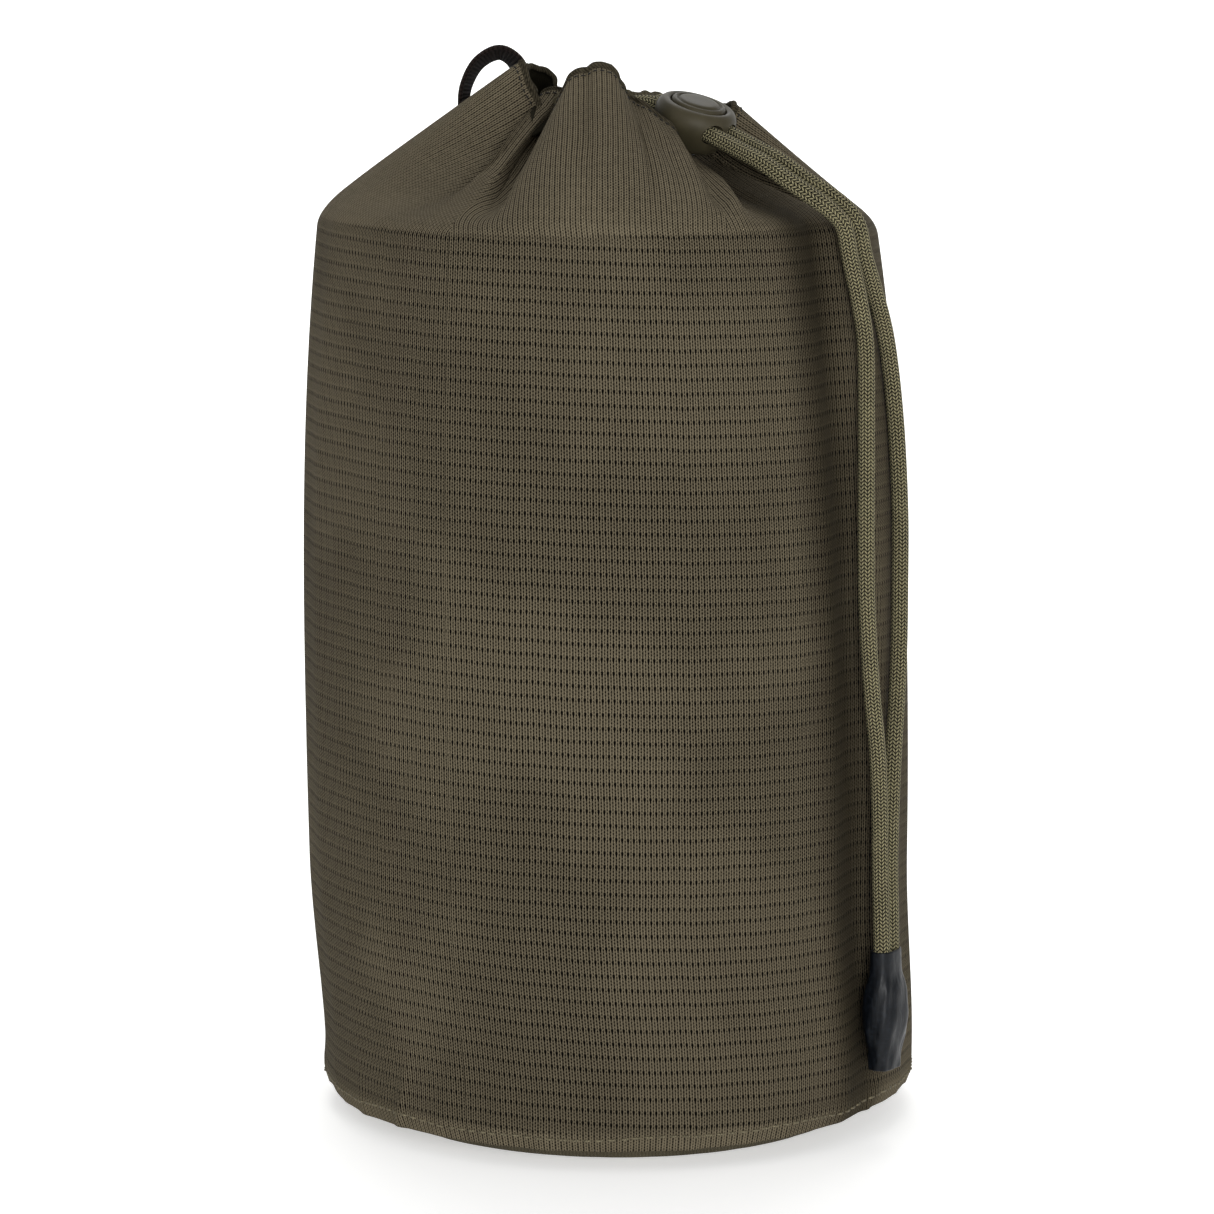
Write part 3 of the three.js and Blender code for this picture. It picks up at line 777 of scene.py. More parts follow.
def make_camera():
    data = bpy.data.cameras.new("camera")
    data.lens = CAMERA_LENS
    data.sensor_width = 36
    camera = link(bpy.data.objects.new("camera", data))
    camera.location = CAMERA_PLACE
    camera.rotation_euler = (math.radians(90 - CAMERA_LOOKS_DOWN), 0, 0)
    bpy.context.scene.camera = camera


make_camera()

# ---- drawcord

CORD = braided_cord()


def end_frame():
    """Where the sleeve hangs: x along the wall, y inwards and z up."""
    centre = Vector(around(SLEEVE_AZIMUTH, SLEEVE_DISTANCE, 0.0))
    return Matrix.Translation(centre) @ Matrix.Rotation(math.radians(SLEEVE_AZIMUTH), 4, "Z")


def cord_tube(name, route):
    """The route's points, and its tube of braid. A line of points every 0.8 mm is smooth."""
    line = smooth_route(route, 0.0008)
    return line, tube(name, line, CORD_RADIUS, CORD, CORD_SIDES)


def stopper_knot():
    """The two legs tied in one overhand knot, as a lump with the cords' turns on it."""
    rows, columns = 60, 72
    tilt = np.linspace(-90, 90, rows)[:, None]
    turn = np.linspace(0, 360, columns, endpoint=False)[None, :]
    size = 0.93 + 0.07 * np.abs(np.sin(np.radians(tilt * 1.6 + turn * 1.5)))
    tilted, turned = np.radians(tilt), np.radians(turn)
    along_wall, across, upwards = KNOT_HALF_SIZE
    points = stacked(
        along_wall * size * np.cos(tilted) * np.cos(turned),
        across * size * np.cos(tilted) * np.sin(turned),
        KNOT_HEIGHT + upwards * size * np.sin(tilted),
    )
    uv_at = stacked(turn / 360, (tilt + 90) * 0.0001).reshape(-1, 2)
    faces = grid_faces(rows, columns)
    knot = mesh_object("stopper_knot_braid", points, faces, [CORD], 180, uv_at[faces])
    knot.matrix_world = end_frame()
    return knot


def cord_tail(name, side):
    """A cut end of the cord, in the sleeve below the knot."""
    line = np.array([(side * LEG_SPACING / 2, 0, z) for z in np.linspace(*TAIL_HEIGHTS, 9)])
    tail = tube(name, line, CORD_RADIUS, CORD, CORD_SIDES)
    tail.matrix_world = end_frame()
    return tail


# The sleeve's outline from its top: height, half its size along the wall and across it.
SLEEVE_SECTIONS = [
    (0.0513, 0.0053, 0.0031), (0.0500, 0.0053, 0.0032), (0.0465, 0.0053, 0.0033),
    (0.0445, 0.0056, 0.0034), (0.0428, 0.0063, 0.0040), (0.0400, 0.0067, 0.0047),
    (0.0350, 0.0070, 0.0050), (0.0310, 0.0070, 0.0048), (0.0275, 0.0064, 0.0041),
    (0.0250, 0.0058, 0.0036), (0.0225, 0.0054, 0.0033), (0.0196, 0.0051, 0.0031),
]
SLEEVE_WALL = 0.0006
SLEEVE_LIP = 0.00012


def shrink_sleeve(material):
    """Shrink tube over the knot: a flattened tube that bulges over it and creases below."""
    heights, along_wall, across = np.array(SLEEVE_SECTIONS).T
    at = np.linspace(heights[0], heights[-1], 90)
    long_half = np.interp(at, heights[::-1], along_wall[::-1])[:, None]
    short_half = np.interp(at, heights[::-1], across[::-1])[:, None]
    for half in (long_half, short_half):
        half[3:-3, 0] = np.convolve(half[:, 0], np.ones(7) / 7, "valid")
    angle = circle(96)[None, :]
    fill_x = np.sign(np.cos(angle)) * np.abs(np.cos(angle)) ** 0.72
    fill_y = np.sign(np.sin(angle)) * np.abs(np.sin(angle)) ** 0.72
    down = (heights[0] - at)[:, None] / MM
    crease = 0.10 * np.sin(angle * 9 + down * 0.35) * smoothstep(down, 4, 9)
    crease = crease + 0.12 * np.sin(angle * 5 - down * 0.6 + 1) * smoothstep(down, 16, 24)
    lump = 0.30 * hill(down - 13, 3.5) * np.cos(angle - 0.7)
    lump = lump - 0.22 * hill(down - 18, 2.2) * np.cos(angle - 2.2)
    extra = (crease + lump) * MM
    outside = stacked(fill_x * (long_half + extra), fill_y * (short_half + extra), at[:, None])
    inward = normalised(outside * (1, 1, 0)) * SLEEVE_WALL
    lip = np.array([0.25, 0.85])[:, None, None]
    top_lip = outside[:1] - inward[:1] * lip + (0, 0, SLEEVE_LIP)
    bottom_lip = outside[-1:] - inward[-1:] * lip - (0, 0, SLEEVE_LIP)
    rings = np.concatenate([top_lip[::-1], outside, bottom_lip, (outside - inward)[::-1]])
    faces = grid_faces(len(rings), 96, True, True)[:, ::-1]
    sleeve = mesh_object("shrink_sleeve", rings, faces, [material], 70)
    sleeve.matrix_world = end_frame()
    return sleeve


def neck_loop():
    """The part of the drawcord that runs round the mouth, in its tunnel."""
    turn = np.linspace(CORD_EXIT_HALF_ANGLE + 2, 358 - CORD_EXIT_HALF_ANGLE, 60)
    route = around(CORD_EXIT_AZIMUTH + turn, CORD_RING_RADIUS, CORD_RING_HEIGHT)
    return cord_tube("drawcord_round_mouth", route)[1]


left_line, left_leg = cord_tube("drawcord_left", np.array(LEFT_LEG) * MM)
right_line, right_leg = cord_tube("drawcord_right", np.array(RIGHT_LEG) * MM)
knot = stopper_knot()
left_tail = cord_tail("drawcord_end_left", -1)
right_tail = cord_tail("drawcord_end_right", 1)
sleeve = shrink_sleeve(shrink_tube())
mouth_cord = neck_loop()

for piece, node, slot in (
    (left_leg, "drawcord_leg_left", "cord"),
    (right_leg, "drawcord_leg_right", "cord"),
    (knot, "stopper_knot", "cord"),
    (left_tail, "drawcord_tail_left", "cord"),
    (right_tail, "drawcord_tail_right", "cord"),
    (sleeve, "cord_end_sleeve", "shrink_sleeve"),
    (mouth_cord, "drawcord_neck_loop", "cord"),
):
    dress(piece, "sack", [node], slot)

# ---- the panel


def wall_radius(height):
    """The filled sack's radius, from its base corner up to its shoulder."""
    drop = np.clip((CORNER_HEIGHT - height) / 0.0105, 0, 1)
    corner = BASE_SEAM_RADIUS + (CORNER_RADIUS - BASE_SEAM_RADIUS) * np.sqrt(1 - drop**2)
    below = np.clip((BELLY_HEIGHT - height) / BELLY_HEIGHT, 0, 1)
    above = np.clip((height - BELLY_HEIGHT) / (SHOULDER_HEIGHT - BELLY_HEIGHT), 0, 1.1)
    belly = BELLY_RADIUS - FOOT_NARROWING * below**1.6 - SHOULDER_NARROWING * above**2.6
    return np.where(height < CORNER_HEIGHT, corner, belly)


def middle(height):
    """The x of the sack's middle: the foot sags to the right, and the top leans left."""
    sag = FOOT_SAG * (1 - smoothstep(height, 0.012, 0.070))
    return sag + TOP_LEAN * (height / SHOULDER_HEIGHT) ** 2


def shoulder_height(azimuth):
    """The fold between wall and slope is lowest on the right and highest in front."""
    a = np.radians(azimuth)
    right = hill(degrees_from(azimuth, 90), 42)
    return SHOULDER_HEIGHT + 0.0010 * np.cos(a) - 0.0030 * right


def ripples(count, fewest, most, size):
    """Soft seeded waves, as filled cloth has: their height, over azimuth and height."""
    turns = rng.integers(fewest, most, count)
    rises = rng.uniform(-18, 18, count)
    phases = rng.uniform(0, TAU, count)
    waves = list(zip(turns, rises, phases, size * rng.uniform(0.4, 1.0, count)))
    return lambda azimuth, height: sum(
        s * np.sin(n * np.radians(azimuth) + rise * height + phase)
        for n, rise, phase, s in waves
    )


broad_ripples = ripples(7, 3, 10, 0.00016)
fine_ripples = ripples(10, 16, 44, 0.00006)


def puckers(count, size):
    """Short slanted ridges that a curved seam gathers in the cloth beside it: their height,
    over azimuth and the way up from the seam."""
    azimuths = (np.arange(count) + rng.uniform(-0.35, 0.35, count)) * 360 / count
    sizes = size * rng.uniform(0.25, 1.0, count)
    widths = rng.uniform(1.2, 2.6, count)
    slants = rng.uniform(-400, 400, count)  # degrees for each metre up
    ridges = list(zip(azimuths, sizes, widths, slants, rng.uniform(0.007, 0.020, count)))
    return lambda azimuth, up: sum(
        s * hill(degrees_from(azimuth, a + slant * up), width) * hill(up, reach)
        for a, s, width, slant, reach in ridges
    )


base_puckers = puckers(30, 0.0011)


def side_seam_azimuth(height):
    return SIDE_SEAM_FOOT + SIDE_SEAM_SLANT * height


def foot_lift(azimuth, height):
    """The slack foot is lifted off the ground on the right."""
    right = hill(degrees_from(azimuth, 72), 34)
    return 0.0018 * right * (1 - smoothstep(height, 0.005, 0.030))


def wall_point(azimuth, height):
    """A point of the panel's wall. The arguments may be arrays."""
    up = np.maximum(height - BASE_SEAM_HEIGHT, 0)
    seam_fade = smoothstep(height, 0.004, 0.030)
    off_seam = degrees_from(azimuth, side_seam_azimuth(height))
    seam = SIDE_SEAM_DEPTH * hill(off_seam, SIDE_SEAM_SPREAD)
    radius = (
        wall_radius(height)
        - seam * (0.35 + 0.65 * seam_fade)
        + (broad_ripples(azimuth, height) + fine_ripples(azimuth, height)) * seam_fade
        + base_puckers(azimuth, up)
        - 0.0006 * hill(up, 0.003)
    )
    return around(azimuth, radius, height + foot_lift(azimuth, height), middle(height))


def hem_line(azimuth):
    knots = [row[0] for row in HEM]
    values = np.array([row[1:] for row in HEM]) * MM
    return closed_curve(knots, values, azimuth)


# Small gathers of the neck: azimuth, height, spread in degrees, and where they start.
GATHERS = list(
    zip(
        (np.arange(64) + rng.uniform(-0.4, 0.4, 64)) * 360 / 64,
        rng.uniform(-0.8, 0.6, 64) * MM,
        rng.uniform(0.9, 2.2, 64),
        rng.uniform(0.0, 0.55, 64),
    )
)


def neck_relief(azimuth, share, hem):
    """How far the gathered cloth stands out from the straight lines to the hem."""
    crest = smoothstep(np.hypot(hem[..., 0], hem[..., 1]), 0.017, 0.028)
    right = hill(degrees_from(azimuth, 92), 28)
    relief = (0.0022 - 0.0026 * right) * np.sin(math.pi * share**0.8) * crest
    relief = relief - 0.0022 * np.sin(math.pi * share) * (1 - crest)
    for low, high, size, spread, start, full in FOLDS:
        off = degrees_from(azimuth, low + (high - low) * share)
        relief = relief + size * MM * hill(off, spread) * smoothstep(share, start, full)
    for centre, size, spread, start in GATHERS:
        off = degrees_from(azimuth, centre)
        relief = relief + size * hill(off, spread) * smoothstep(share, start, 1.05)
    return relief


def surface_normals(grid):
    """Unit normals of a grid of points, rows upwards and columns round the sack."""
    round_it = np.roll(grid, -1, axis=1) - np.roll(grid, 1, axis=1)
    upwards = np.gradient(grid, axis=0)
    return normalised(np.cross(round_it, upwards))


def hem_thickness(azimuth):
    """The radius of the rolled hem: thick on the front pleats and thin in the valleys."""
    front = hill(degrees_from(azimuth, 4), 26)
    left = hill(degrees_from(azimuth, 282), 22)
    return (0.85 + 0.40 * front - 0.25 * left) * MM


class Panel:
    """The panel's grid of points, from the base seam up to the hem and down inside it."""

    def __init__(self):
        azimuth = np.arange(COLUMNS) * 360 / COLUMNS
        self.azimuth = azimuth
        hem = hem_line(azimuth)
        wall = self.wall_rows(azimuth)
        shoulder = wall_point(azimuth, shoulder_height(azimuth))
        share = np.concatenate([np.linspace(0, 0.3, 16)[1:], np.linspace(0.3, 1, 42)[1:]])
        slope = (1 - share[:, None, None]) * shoulder + share[:, None, None] * hem
        with_edge = np.concatenate([shoulder[None], slope])
        relief = neck_relief(azimuth[None, :], share[:, None], hem[None])
        relief = relief * smoothstep(share, 0.0, 0.12)[:, None]
        slope = slope + surface_normals(with_edge)[1:] * relief[..., None]
        neck = self.rounded_shoulder(wall[-1], shoulder, slope)
        roll, inside = self.hem_rows(azimuth, neck)
        self.shoulder_row = len(wall)
        self.first_hem_row = len(wall) + len(neck) - 2
        self.grid = np.concatenate([wall, neck, roll, inside])
        self.inside_row = len(wall) + len(neck) + len(roll) - 3

    def wall_rows(self, azimuth):
        """From the seam allowance inside, round the seam's fold, and up the wall."""
        turned_in = wall_point(azimuth, BASE_SEAM_HEIGHT)
        outwards = normalised(turned_in * (1, 1, 0))
        rows = [
            turned_in - outwards * 0.0022 + (0, 0, 0.0032),
            turned_in - outwards * 0.0018 + (0, 0, 0.0006),
            turned_in - outwards * 0.0009 - (0, 0, 0.0003),
        ]
        heights = np.concatenate(
            [
                np.arange(BASE_SEAM_HEIGHT, 0.016, 0.0007),
                np.arange(0.016, 0.030, 0.0015),
                np.arange(0.030, 0.236, 0.0030),
                np.arange(0.236, 0.2395, 0.0008),
            ]
        )
        stretch = shoulder_height(azimuth) / SHOULDER_HEIGHT - 1
        for z in heights:
            rows.append(wall_point(azimuth, z * (1 + stretch * smoothstep(z, 0.14, 0.23))))
        return np.array(rows)

    def rounded_shoulder(self, below, corner, slope):
        """The slope, with its first rows bent round the corner of the filled sack."""
        turn_end = 5
        rows = [
            (1 - t) ** 2 * below + 2 * t * (1 - t) * corner + t**2 * slope[turn_end]
            for t in np.linspace(0, 1, 10)[1:-1]
        ]
        return np.concatenate([np.array(rows), slope[turn_end:]])

    def hem_rows(self, azimuth, neck):
        """The rolled edge, and the turned-in cloth of the cord's channel."""
        edge = neck[-1]
        up = normalised(neck[-1] - neck[-4])
        out = surface_normals(neck)[-2]
        out = normalised(sum(np.roll(out, k, axis=0) for k in range(-4, 5)))
        radius = hem_thickness(azimuth)[:, None]
        crest = smoothstep(np.hypot(edge[:, 0], edge[:, 1]), 0.015, 0.026)[:, None]
        radius = radius * (0.5 + 0.5 * crest)
        centre = edge - out * radius * 0.5 + up * radius * 0.6
        angles = np.radians(np.linspace(-50, 235, 13))
        roll = [centre + radius * (math.cos(a) * out + math.sin(a) * up) for a in angles]
        inner = roll[-1] - out * radius * 0.2
        deep = np.linspace(0, 1, 8)[1:] * HEM_CHANNEL
        inside = [inner - up * d - out * (0.00025 + 0.02 * d) for d in deep]
        return np.array(roll), np.array(inside)

    def crest_azimuths(self):
        """For each face column, the azimuth of its pleat's crest."""
        valleys = np.array(PLEAT_VALLEYS) - PLEAT_VALLEYS[0]
        face_azimuth = self.azimuth + 180 / COLUMNS
        from_first = (face_azimuth - PLEAT_VALLEYS[0]) % 360
        pleat = np.searchsorted(valleys, from_first, side="right") - 1
        return np.array(PLEAT_CRESTS)[pleat]

    def uv(self):
        """Cloth coordinates in metres for each face corner. Above the shoulder the cloth is
        measured from each pleat's crest, so that the ribs run off over the pleat's edges."""
        grid = self.grid
        rows = len(grid)
        loop = np.concatenate([grid, grid[:, :1]], axis=1)
        step = np.linalg.norm(np.diff(loop, axis=1), axis=2)
        reach = np.concatenate([np.zeros((rows, 1)), np.cumsum(step, axis=1)], axis=1)
        scale = GIRTH / reach[self.shoulder_row, -1]
        crest = self.crest_azimuths()
        crest_column = np.round(crest / 360 * COLUMNS).astype(int)
        upwards = np.linalg.norm(np.diff(grid, axis=0), axis=2)
        v = np.concatenate([np.zeros((1, COLUMNS)), np.cumsum(upwards, axis=0)])
        v = np.concatenate([v, v[:, :1]], axis=1)
        column = np.arange(COLUMNS)
        blend = smoothstep(np.arange(rows), self.shoulder_row - 1, self.shoulder_row + 4)

        def u_at(corner_column, row):
            measured = reach[row][:, corner_column] - reach[row][:, crest_column]
            half = reach[row][:, -1:] / 2
            measured = (measured + half) % (2 * half) - half
            from_crest = degrees_from(corner_column / COLUMNS * 360, crest)
            placed = (crest + from_crest) / 360 * GIRTH
            pulled = crest / 360 * GIRTH + measured * scale
            return placed + (pulled - placed) * blend[row][:, None]

        low, high = np.arange(rows - 1), np.arange(1, rows)
        corners = ((column, low), (column + 1, low), (column + 1, high), (column, high))
        uv = [np.stack([u_at(c, r), v[r][:, c]], axis=-1) for c, r in corners]
        self.v = v
        return np.stack(uv, axis=2)

    def build(self):
        uv = self.uv()
        shoulder_v = float(self.v[self.shoulder_row + 3].mean())
        materials = [knitted_mesh(FIRST_HOLE_ROW, shoulder_v), rolled_hem(), inner_face()]
        rows = len(self.grid)
        kind = np.zeros((rows - 1, COLUMNS), int)
        kind[self.first_hem_row :] = 1
        kind[self.inside_row :] = 2
        faces = grid_faces(rows, COLUMNS)
        return mesh_object("sack_panel", self.grid, faces, materials, 180, uv, kind.ravel())


panel = Panel()
cloth = panel.build()
dress(cloth, "sack", ["body_panel"], "mesh_fabric")

# ---- base


def base_disc(material):
    """The round base: flat where the sack stands, and drawn up to its puckered seam."""
    azimuth = np.arange(360)[None, :]
    shares = np.concatenate([np.linspace(0.02, 0.8, 16), np.linspace(0.8, 1, 14)[1:]])
    edge = BASE_SEAM_RADIUS - BASE_EDGE_INSET
    radius = shares[:, None] * edge
    rise = smoothstep(radius, BASE_FLAT_RADIUS - 0.003, edge + 0.0006)
    near_seam = smoothstep(radius, BASE_SLACK_RADIUS, edge)
    wrinkle = base_puckers(azimuth, (edge - radius) * 0.8)
    height = rise * (BASE_SEAM_HEIGHT + wrinkle * 0.7) + 0.0002 * near_seam
    height = height + foot_lift(azimuth, 0.0) * near_seam
    sag = np.maximum(fine_ripples(azimuth, radius), 0) * near_seam
    grid = around(azimuth, radius, height + sag, FOOT_SAG)
    hub = len(shares) * 360
    faces = grid_faces(len(shares), 360)[:, ::-1].tolist()
    faces += [[hub, k, (k + 1) % 360] for k in range(360)]
    vertices = np.vstack([grid.reshape(-1, 3), [(FOOT_SAG, 0, 0.00015)]])
    return mesh_object("base_disc", vertices, faces, [material])


def bound_ring(material):
    """The tape that binds the base seam, inside the wall."""
    azimuth = np.arange(240) * 1.5
    # Half sizes of the folded tape's section, round its edges: across it, and up it.
    section = [(-1, -1), (1, -1), (1.2, -0.5), (1.2, 0.5), (1, 1), (-1, 1)]
    section += [(-1.2, 0.5), (-1.2, -0.5)]
    radius = BASE_TAPE_RADIUS + 0.0003 * np.sin(np.radians(azimuth * 24))
    rings = [
        around(azimuth, radius + x * 0.0005, BASE_TAPE_HEIGHT + z * 0.0024, FOOT_SAG)
        for x, z in section
    ]
    rings = np.stack(rings, axis=1)
    faces = grid_faces(240, len(section), True, True)[:, ::-1]
    return mesh_object("base_seam_tape", rings, faces, [material], 50)


def side_tape(material):
    """The tape that binds the side seam, inside the wall."""
    half_width = 1.6  # degrees
    off = np.array([-half_width, -0.5, 0.5, half_width])
    thickness = np.array([0.0012, 0.0007, 0.0007, 0.0012])[:, None]
    rows = []
    for z in np.linspace(0.013, 0.227, 90):
        outer = wall_point(side_seam_azimuth(z) + off, z)
        inwards = -normalised(outer * (1, 1, 0))
        wave = 0.0001 * math.sin(z * 900)
        near = outer + inwards * (0.0006 + wave)
        far = outer + inwards * (thickness + 0.0008 + wave)
        rows.append(np.concatenate([near, far[::-1]]))
    faces = grid_faces(len(rows), 2 * len(off))
    return mesh_object("side_seam_tape", np.array(rows), faces, [material], 50)


def base_topstitch(material):
    """The row of light stitches round the foot, just over the base seam."""
    azimuth = np.arange(720) * 0.5
    height = STITCH_HEIGHT + 0.0004 * np.sin(np.radians(azimuth * 5))
    height = height + 0.0003 * np.sin(np.radians(azimuth * 13))
    line = wall_point(azimuth, height)
    above = wall_point(azimuth, height + 0.0008)
    beside = np.roll(line, -1, axis=0) - np.roll(line, 1, axis=0)
    outwards = normalised(np.cross(beside, above - line))
    return dashes(
        "base_topstitch", line, outwards, material, length=0.0024, pitch=0.0032, radius=0.00034
    )


LIGHT_THREAD = sewing_thread("light_thread", (70, 64, 48), (112, 104, 82))
DARK_THREAD = sewing_thread("dark_thread", (12, 10, 6), (26, 23, 16))
TAPE = seam_tape()

base = base_disc(base_cloth())
seam_ring = bound_ring(TAPE)
seam_strip = side_tape(TAPE)
topstitch = base_topstitch(LIGHT_THREAD)

# ---- mouth


def hem_stitches():
    """The row of stitches that closes the cord's channel, under the rolled edge. It stops at
    each side of the hang loop."""
    first, last = (round(a / 360 * COLUMNS) for a in HEM_STITCHES_FROM_TO)
    columns = np.arange(first, last) % COLUMNS
    line = panel.grid[panel.first_hem_row - 1][columns]
    outwards = surface_normals(panel.grid[: panel.first_hem_row + 1])[-2][columns]
    return dashes(
        "hem_stitches", line, outwards, DARK_THREAD,
        length=0.0013, pitch=0.0019, radius=0.00022, closed=False,
    )


def gathered_tunnel(material):
    """The tape tunnel round the cord, crumpled by the gathers."""
    turn = np.linspace(CORD_EXIT_HALF_ANGLE, 360 - CORD_EXIT_HALF_ANGLE, 220)
    line = around(CORD_EXIT_AZIMUTH + turn, CORD_RING_RADIUS, CORD_RING_HEIGHT)
    angle = circle(40)[None, :]
    turn = turn[:, None]
    crumple = 0.10 * np.sin(np.radians(turn * 14) + 1.3 * np.sin(angle * 2))
    crumple = crumple + 0.05 * np.sin(np.radians(turn * 33) + angle * 3)
    return tube("gathered_tunnel", line, TUNNEL_RADIUS * (1 + crumple), material, 40)


hem_thread = hem_stitches()
tunnel = gathered_tunnel(base_cloth())

# ---- cord lock


def lock_frame():
    """x down along the cord holes, z along the button's axis."""
    centre = Vector(around(CORD_EXIT_AZIMUTH, LOCK_DISTANCE, LOCK_HEIGHT))
    turned = Matrix.Rotation(math.radians(CORD_EXIT_AZIMUTH - 90), 4, "Z")
    return Matrix.Translation(centre) @ turned @ Matrix.Rotation(math.radians(LOCK_SLOPE), 4, "Y")


def hole_cutter(side, flare):
    """A round bar along x, through one of the lock's holes. It is wider by flare outside the
    lock's middle, which rounds the hole's mouth."""
    reach, flare_end, flare_start = 0.030, 0.0107, 0.0095
    half = [
        (LOCK_HOLE_RADIUS, flare_start),
        (LOCK_HOLE_RADIUS + flare, flare_end),
        (LOCK_HOLE_RADIUS + flare, reach),
    ]
    profile = [(r, -z) for r, z in reversed(half)] + half
    bar = lathe_object("cutter", profile, None, segments=40)
    bar.data.transform(Matrix.Rotation(math.radians(90), 4, "Y"))
    bar.data.transform(Matrix.Translation((0, side * LOCK_HOLE_OFFSET, 0)))
    return bar


# Radius and height along the lock's axis, in millimetres. The shell's line runs round its cup.
LOCK_PROFILE = [
    (0, -7.2), (5.6, -7.2), (6.8, -6.9), (7.7, -6.2), (8.6, -4.9), (9.5, -3.4),
    (10.2, -1.8), (10.7, -0.4), (10.95, 0.9), (10.9, 2.0), (10.65, 2.9), (10.3, 3.6),
    (9.9, 4.2), (9.45, 4.6), (9.0, 4.80), (8.5, 4.82), (8.05, 4.72), (7.75, 4.5),
    (7.62, 4.1), (7.6, 3.4), (7.6, -4.2), (6.9, -5.4), (6.2, -6.3), (0, -6.3),
]
BUTTON_PROFILE = [
    (0, -3.7), (6.0, -3.7), (7.1, -2.9), (7.3, -2.4), (7.3, 4.3), (7.2, 4.8), (6.95, 5.2),
    (6.6, 5.4), (6.25, 5.38), (5.95, 5.1), (5.7, 4.95), (5.45, 5.1), (5.2, 5.45),
    (4.8, 5.7), (4.2, 5.78), (3.0, 5.8), (1.5, 5.8), (0, 5.8),
]


def lock_piece(name, profile, cutters, material):
    turned = lathe_object(name, [(r * MM, z * MM) for r, z in profile], material)
    piece = cut_away(turned, cutters)
    piece.matrix_world = lock_frame()
    return piece


def button_cutter(side):
    """The button's slots are taller than the holes by its travel."""
    bar = hole_cutter(side, 0)
    taller = Matrix.Scale(1.3, 4, (0, 0, 1))
    bar.data.transform(Matrix.Translation((0, 0, BUTTON_TRAVEL / 2)) @ taller)
    return bar


PLASTIC = moulded_plastic()
shell_cutters = [hole_cutter(side, LOCK_HOLE_FLARE) for side in (-1, 1)]
lock_shell = lock_piece("lock_shell", LOCK_PROFILE, shell_cutters, PLASTIC)
button_cutters = [button_cutter(side) for side in (-1, 1)]
plunger = lock_piece("lock_plunger", BUTTON_PROFILE, button_cutters, PLASTIC)

# ---- hang loop

# The loop's line in the plane y = LOOP_Y, x and z in millimetres.
LOOP_LINE = [
    (-38.2, 264), (-38.8, 268), (-38.2, 275), (-34.6, 281.4), (-29, 284.0),
    (-24.6, 281.0), (-23.4, 275), (-24, 269),
]
LOOP_SPLAY = ((0, 9), (0.35, 17), (0.6, 24), (1, 33))  # share of the way along it, and degrees


def webbing_loop(material):
    """A strip of webbing standing on edge. Its front edge is splayed outwards, more and more
    along the loop, and its edges are rounded."""
    line = smooth_route([(x * MM, LOOP_Y, z * MM) for x, z in LOOP_LINE], 0.0005)
    ahead = normalised(np.gradient(line, axis=0))
    reach = along(line)
    splay = np.radians(np.interp(reach / reach[-1], *np.transpose(LOOP_SPLAY)))[:, None]
    straight = np.array([0.0, 1.0, 0.0])
    inwards = normalised(np.cross(straight, ahead))
    across = straight * np.cos(splay) + inwards * np.sin(splay)
    thick = inwards * np.cos(splay) - straight * np.sin(splay)
    half = LOOP_WIDTH / 2
    # One side of the section: how far across the strip, and the share of its half thickness.
    face = [(-half + 0.0002, 0.6), (-half + 0.0008, 1), (0, 1.06)]
    face += [(-y, t) for y, t in face[1::-1]]
    section = face[1:] + [(half, 0)] + [(y, -t) for y, t in face[::-1]] + [(-half, 0), face[0]]
    thick = thick * LOOP_THICKNESS / 2 * 0.92
    rings = np.stack([line + across * y + thick * t for y, t in section], axis=1)
    faces = grid_faces(len(line), len(section))
    u = np.array([y + half for y, _ in section])
    uv_at = stacked(u[None, :], reach[:, None]).reshape(-1, 2)
    return mesh_object("webbing_loop", rings, faces, [material], 50, uv_at[faces])


def bartack(name, node):
    """A block of close zigzag stitches, filling its CAD block."""
    low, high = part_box(node)
    size = high - low
    count = 11
    line = []
    for k in range(count):
        y = low.y + size.y * (k + 0.5) / count
        ends = (low.x, high.x) if k % 2 == 0 else (high.x, low.x)
        line += [(x, y, (low.z + high.z) / 2) for x in ends]
    return tube(name, smooth_route(line, 0.00025), 0.00026, DARK_THREAD, sides=8)


loop = webbing_loop(ribbed_webbing())
outer_tack = bartack("loop_stitches_outer", "loop_bartack_outer")
inner_tack = bartack("loop_stitches_inner", "loop_bartack_inner")

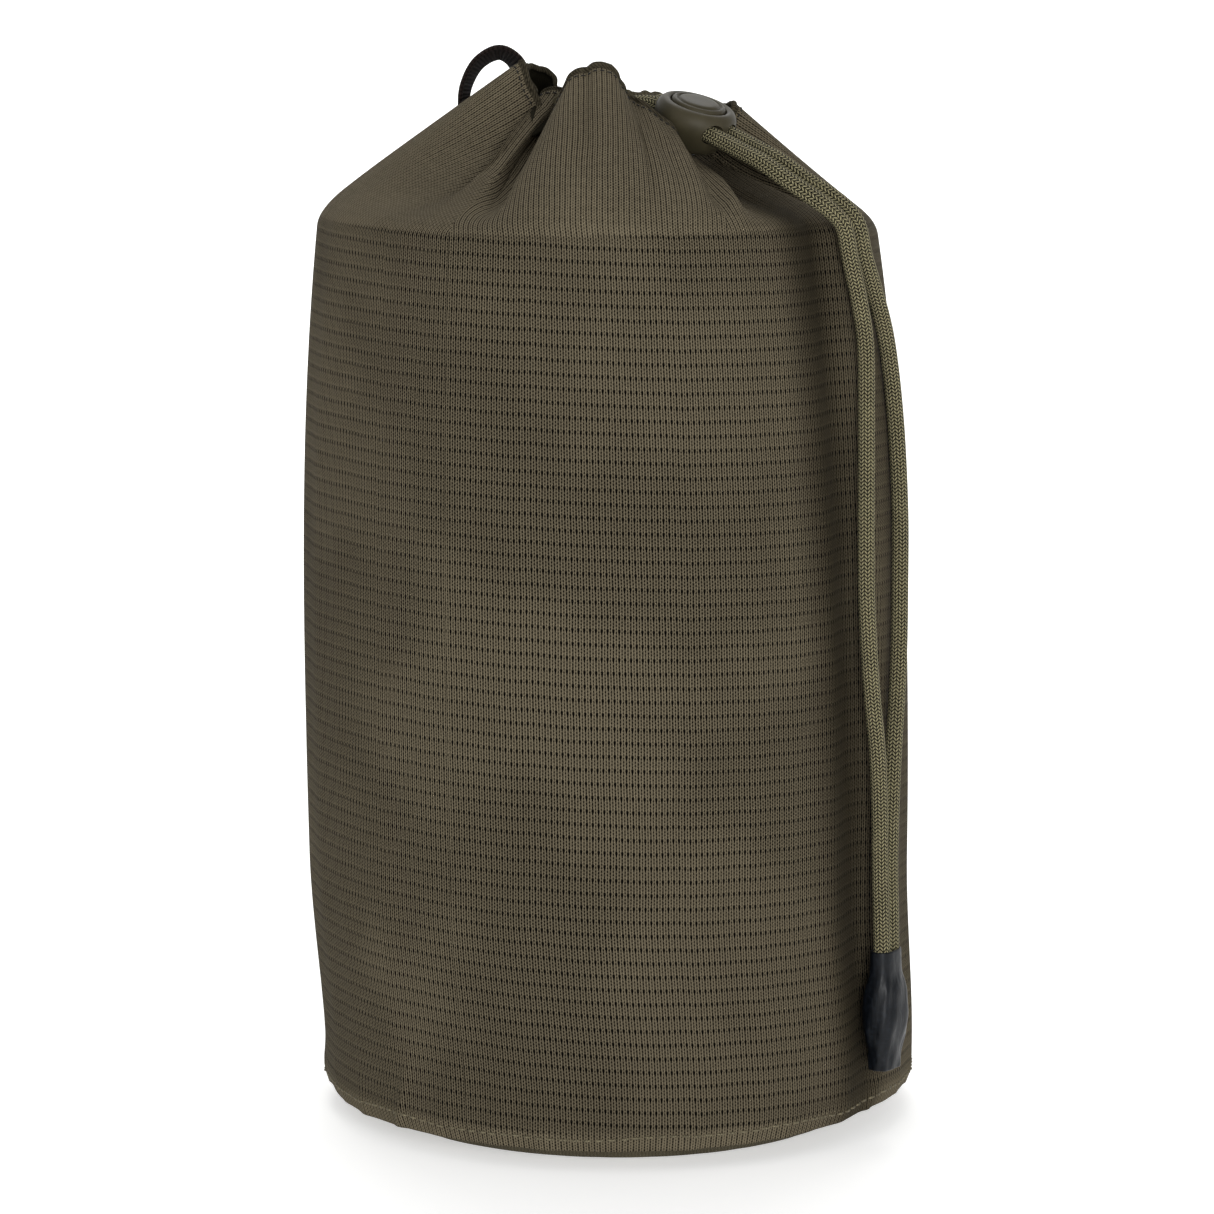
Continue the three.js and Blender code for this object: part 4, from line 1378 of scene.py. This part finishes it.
for made in (
    (base, "sack", ["base_panel"], "mesh_fabric"),
    (seam_ring, "sack", ["base_seam_binding"], "binding_tape"),
    (seam_strip, "sack", ["side_seam_binding"], "binding_tape"),
    (topstitch, "sack", ["base_stitch_thread"], "thread"),
    (hem_thread, "sack", [], "thread"),
    (tunnel, "sack", ["cord_tunnel"], "mesh_fabric"),
    (lock_shell, "lock", ["lock_body"], "lock_plastic"),
    (plunger, "button", ["lock_button"], "lock_plastic"),
    (loop, "loop", ["hang_loop"], "webbing"),
    (outer_tack, "sack", ["loop_bartack_outer"], "thread"),
    (inner_tack, "sack", ["loop_bartack_inner"], "thread"),
):
    dress(*made)

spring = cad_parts["lock_spring"]
spring.data.materials.clear()
spring.data.materials.append(spring_wire())
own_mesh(spring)

# ---- studio


def area_light(name, place, target, size, power):
    data = bpy.data.lights.new(name, "AREA")
    data.shape = "DISK"
    data.size = size
    data.energy = power
    light = link(bpy.data.objects.new(name, data))
    light.location = place
    aim = Vector(target) - Vector(place)
    light.rotation_euler = aim.to_track_quat("-Z", "Y").to_euler()


def backdrop():
    """A pale floor that sweeps up behind in a quarter circle."""
    turn = np.radians(np.linspace(0, 90, 24))
    curve = np.stack([1.4 + 1.2 * np.sin(turn), 1.2 - 1.2 * np.cos(turn)], axis=1)
    side = np.vstack([[(-4, 0)], curve, [(2.6, 5)]])
    points = [[(x, y, z) for x in (-5, 5)] for y, z in side]
    faces = grid_faces(len(side), 2, False)
    return mesh_object("backdrop", points, faces, [studio_floor()])


def studio():
    backdrop()
    world = bpy.data.worlds.new("studio")
    bpy.context.scene.world = world
    world.use_nodes = True
    background = world.node_tree.nodes["Background"]
    background.inputs["Color"].default_value = (1, 1, 1, 1)
    background.inputs["Strength"].default_value = 0.42
    area_light("key", (0.4, -1.7, 0.42), (0, 0, 0.12), 0.7, 18)
    area_light("fill", (-1.3, -0.9, 0.6), (0, 0, 0.12), 0.9, 3)
    area_light("behind", (0.0, 1.2, 2.2), (0, 1.9, 0.4), 1.6, 30)
    bpy.context.scene.view_settings.view_transform = "Standard"


studio()
